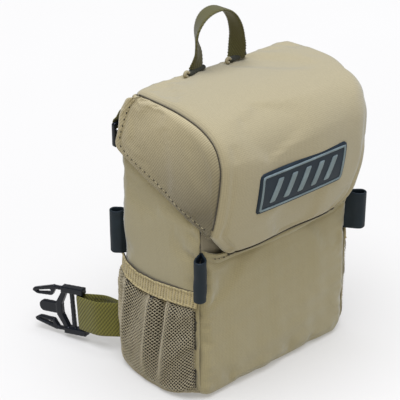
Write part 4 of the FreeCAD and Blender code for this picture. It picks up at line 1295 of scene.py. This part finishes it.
def looped_tape(name, root, bar, width, fold, slack, tuck):
    """Webbing from its root round a bar and back: slack parts its layers, fold is the bar's turn."""
    reach = bar - root
    length = np.linalg.norm(reach)
    reach = reach / length
    normal = np.cross(width, reach)
    upper = [(-tuck, 0.9), (length * 0.12, slack * 0.55), (length * 0.45, slack)]
    upper += [(length * 0.8, slack * 0.7), (length, fold), (length + fold * 0.75, fold * 0.7)]
    lower = [(a, -b) for a, b in reversed(upper)]
    flat = smooth_path([*upper, (length + fold, 0), *lower], 150)
    path = root + flat[:, :1] * reach + flat[:, 1:] * normal
    tape = webbing(name, path, width, TAPE_HALF, 1.3, harness_webbing)
    sewing = Shape()
    for edge in (-0.8, 0.8):
        outwards = unit(np.cross(along_tangent(path), np.broadcast_to(width, path.shape)))
        line = path + width * TAPE_HALF * edge + outwards * 0.62
        for part in (slice(4, 50), slice(-50, -4)):
            stitch_row(sewing, line[part], outwards[part], 3.2, 0.6, 0.22, 0.15)
    return tape, sewing.build(f"{name}_stitching", olive_thread)


def make_harness_webbing():
    """The sewn ends of the waist and shoulder straps."""
    for side, label in SIDES:
        for kind, (pivot, *folds) in HARNESS_ENDS.items():
            root, axis = joint_named(f"{kind}_swing_{label}")
            bar, _ = joint_named(f"{pivot}_{label}")
            width = -side * axis if kind == "waist" else axis
            name = f"{kind}_strap_webbing_{label}"
            tape, stitches = looped_tape(name, root, bar, width, *folds)
            dress(tape, f"{kind}_strap_{label}", "harness_webbing", f"{kind}_webbing_{label}")
            dress(stitches, f"{kind}_strap_{label}", "harness_webbing")


make_carry_loop()
make_keepers()
make_accessory_loops()
make_harness_webbing()


# ---- moulded hardware

MELT_VOXEL = 0.42


def moulded_copy(name, body, node):
    """A node's shape with its edges melted round, as injection moulding leaves them."""
    source = frame["nodes"][node]
    made = bpy.data.objects.new(name, source.data.copy())
    scene.collection.objects.link(made)
    made.data.transform(source.matrix_world)
    made.data.materials.clear()
    made.data.materials.append(buckle_plastic)
    melt = made.modifiers.new("melt", "REMESH")
    melt.mode = "VOXEL"
    melt.voxel_size = MELT_VOXEL * MM
    soften = made.modifiers.new("soften", "SMOOTH")
    soften.factor = 0.5
    soften.iterations = 6
    apply_modifiers(made)
    return dress(made, body, "buckle_plastic", node)


for side, label in SIDES:
    frame_node = f"waist_buckle_frame_{label}"
    moulded_copy(f"side_release_frame_{label}", f"waist_buckle_{label}", frame_node)
    for place in ("upper", "lower"):
        prong = f"buckle_prong_{place}_{label}"
        moulded_copy(f"side_release_prong_{place}_{label}", f"prong_{place}_{label}", prong)
    moulded_copy(f"ladder_lock_{label}", f"shoulder_lock_{label}", f"shoulder_ladder_{label}")

INSIDE = {"base_stiffener": foam_finish, "rim_magnets": steel_finish, "hood_magnets": steel_finish}
for node, finish in INSIDE.items():
    frame["nodes"][node].data.materials.clear()
    frame["nodes"][node].data.materials.append(finish)


# ---- floor, light and camera


def make_stage():
    """A pale floor that glows a little, like lit paper."""
    bpy.ops.mesh.primitive_plane_add(size=12, location=(0, 0, -0.0006))
    floor = bpy.context.object
    floor.name = "floor"
    f = Finish("floor_paper", 0.95)
    f.shader.inputs["Emission Color"].default_value = (1, 1, 1, 1)
    f.shader.inputs["Emission Strength"].default_value = 0.3
    tint = f.ramp(f.noise(2.0, 2.0), (0.3, (0.435, 0.41, 0.345)), (0.7, (0.445, 0.42, 0.355)))
    floor.data.materials.append(f.done(tint))


def make_world():
    world = bpy.data.worlds.new("studio")
    world.use_nodes = True
    background = world.node_tree.nodes["Background"]
    background.inputs["Color"].default_value = (1, 0.985, 0.95, 1)
    background.inputs["Strength"].default_value = 0.32
    scene.world = world


def make_sun():
    """One very wide overhead source, like a big soft box."""
    data = bpy.data.lights.new("overhead", "SUN")
    data.energy = 3.9
    data.color = (0.97, 1.04, 1.30)
    data.angle = math.radians(60)
    lamp = bpy.data.objects.new("overhead", data)
    lamp.rotation_euler = Vector((0.10, 0.12, -1.0)).to_track_quat("-Z", "Y").to_euler()
    scene.collection.objects.link(lamp)


CAMERA_PLACE = (-0.5582, -0.5900, 0.5269)
CAMERA_AZIMUTH, CAMERA_ELEVATION = 41.764, 27.167


def make_camera():
    """The camera looks down at the left front corner, from near enough to converge slightly."""
    azimuth, elevation = math.radians(CAMERA_AZIMUTH), math.radians(CAMERA_ELEVATION)
    level = math.cos(elevation)
    ahead = Vector((math.sin(azimuth) * level, math.cos(azimuth) * level, -math.sin(elevation)))
    data = bpy.data.cameras.new("camera")
    data.sensor_width, data.lens = 36, 122.48
    camera = bpy.data.objects.new("camera", data)
    camera.location = CAMERA_PLACE
    camera.rotation_euler = ahead.to_track_quat("-Z", "Y").to_euler()
    scene.collection.objects.link(camera)
    scene.camera = camera


make_stage()
make_sun()
make_world()
scene.view_settings.view_transform = "Standard"
make_camera()
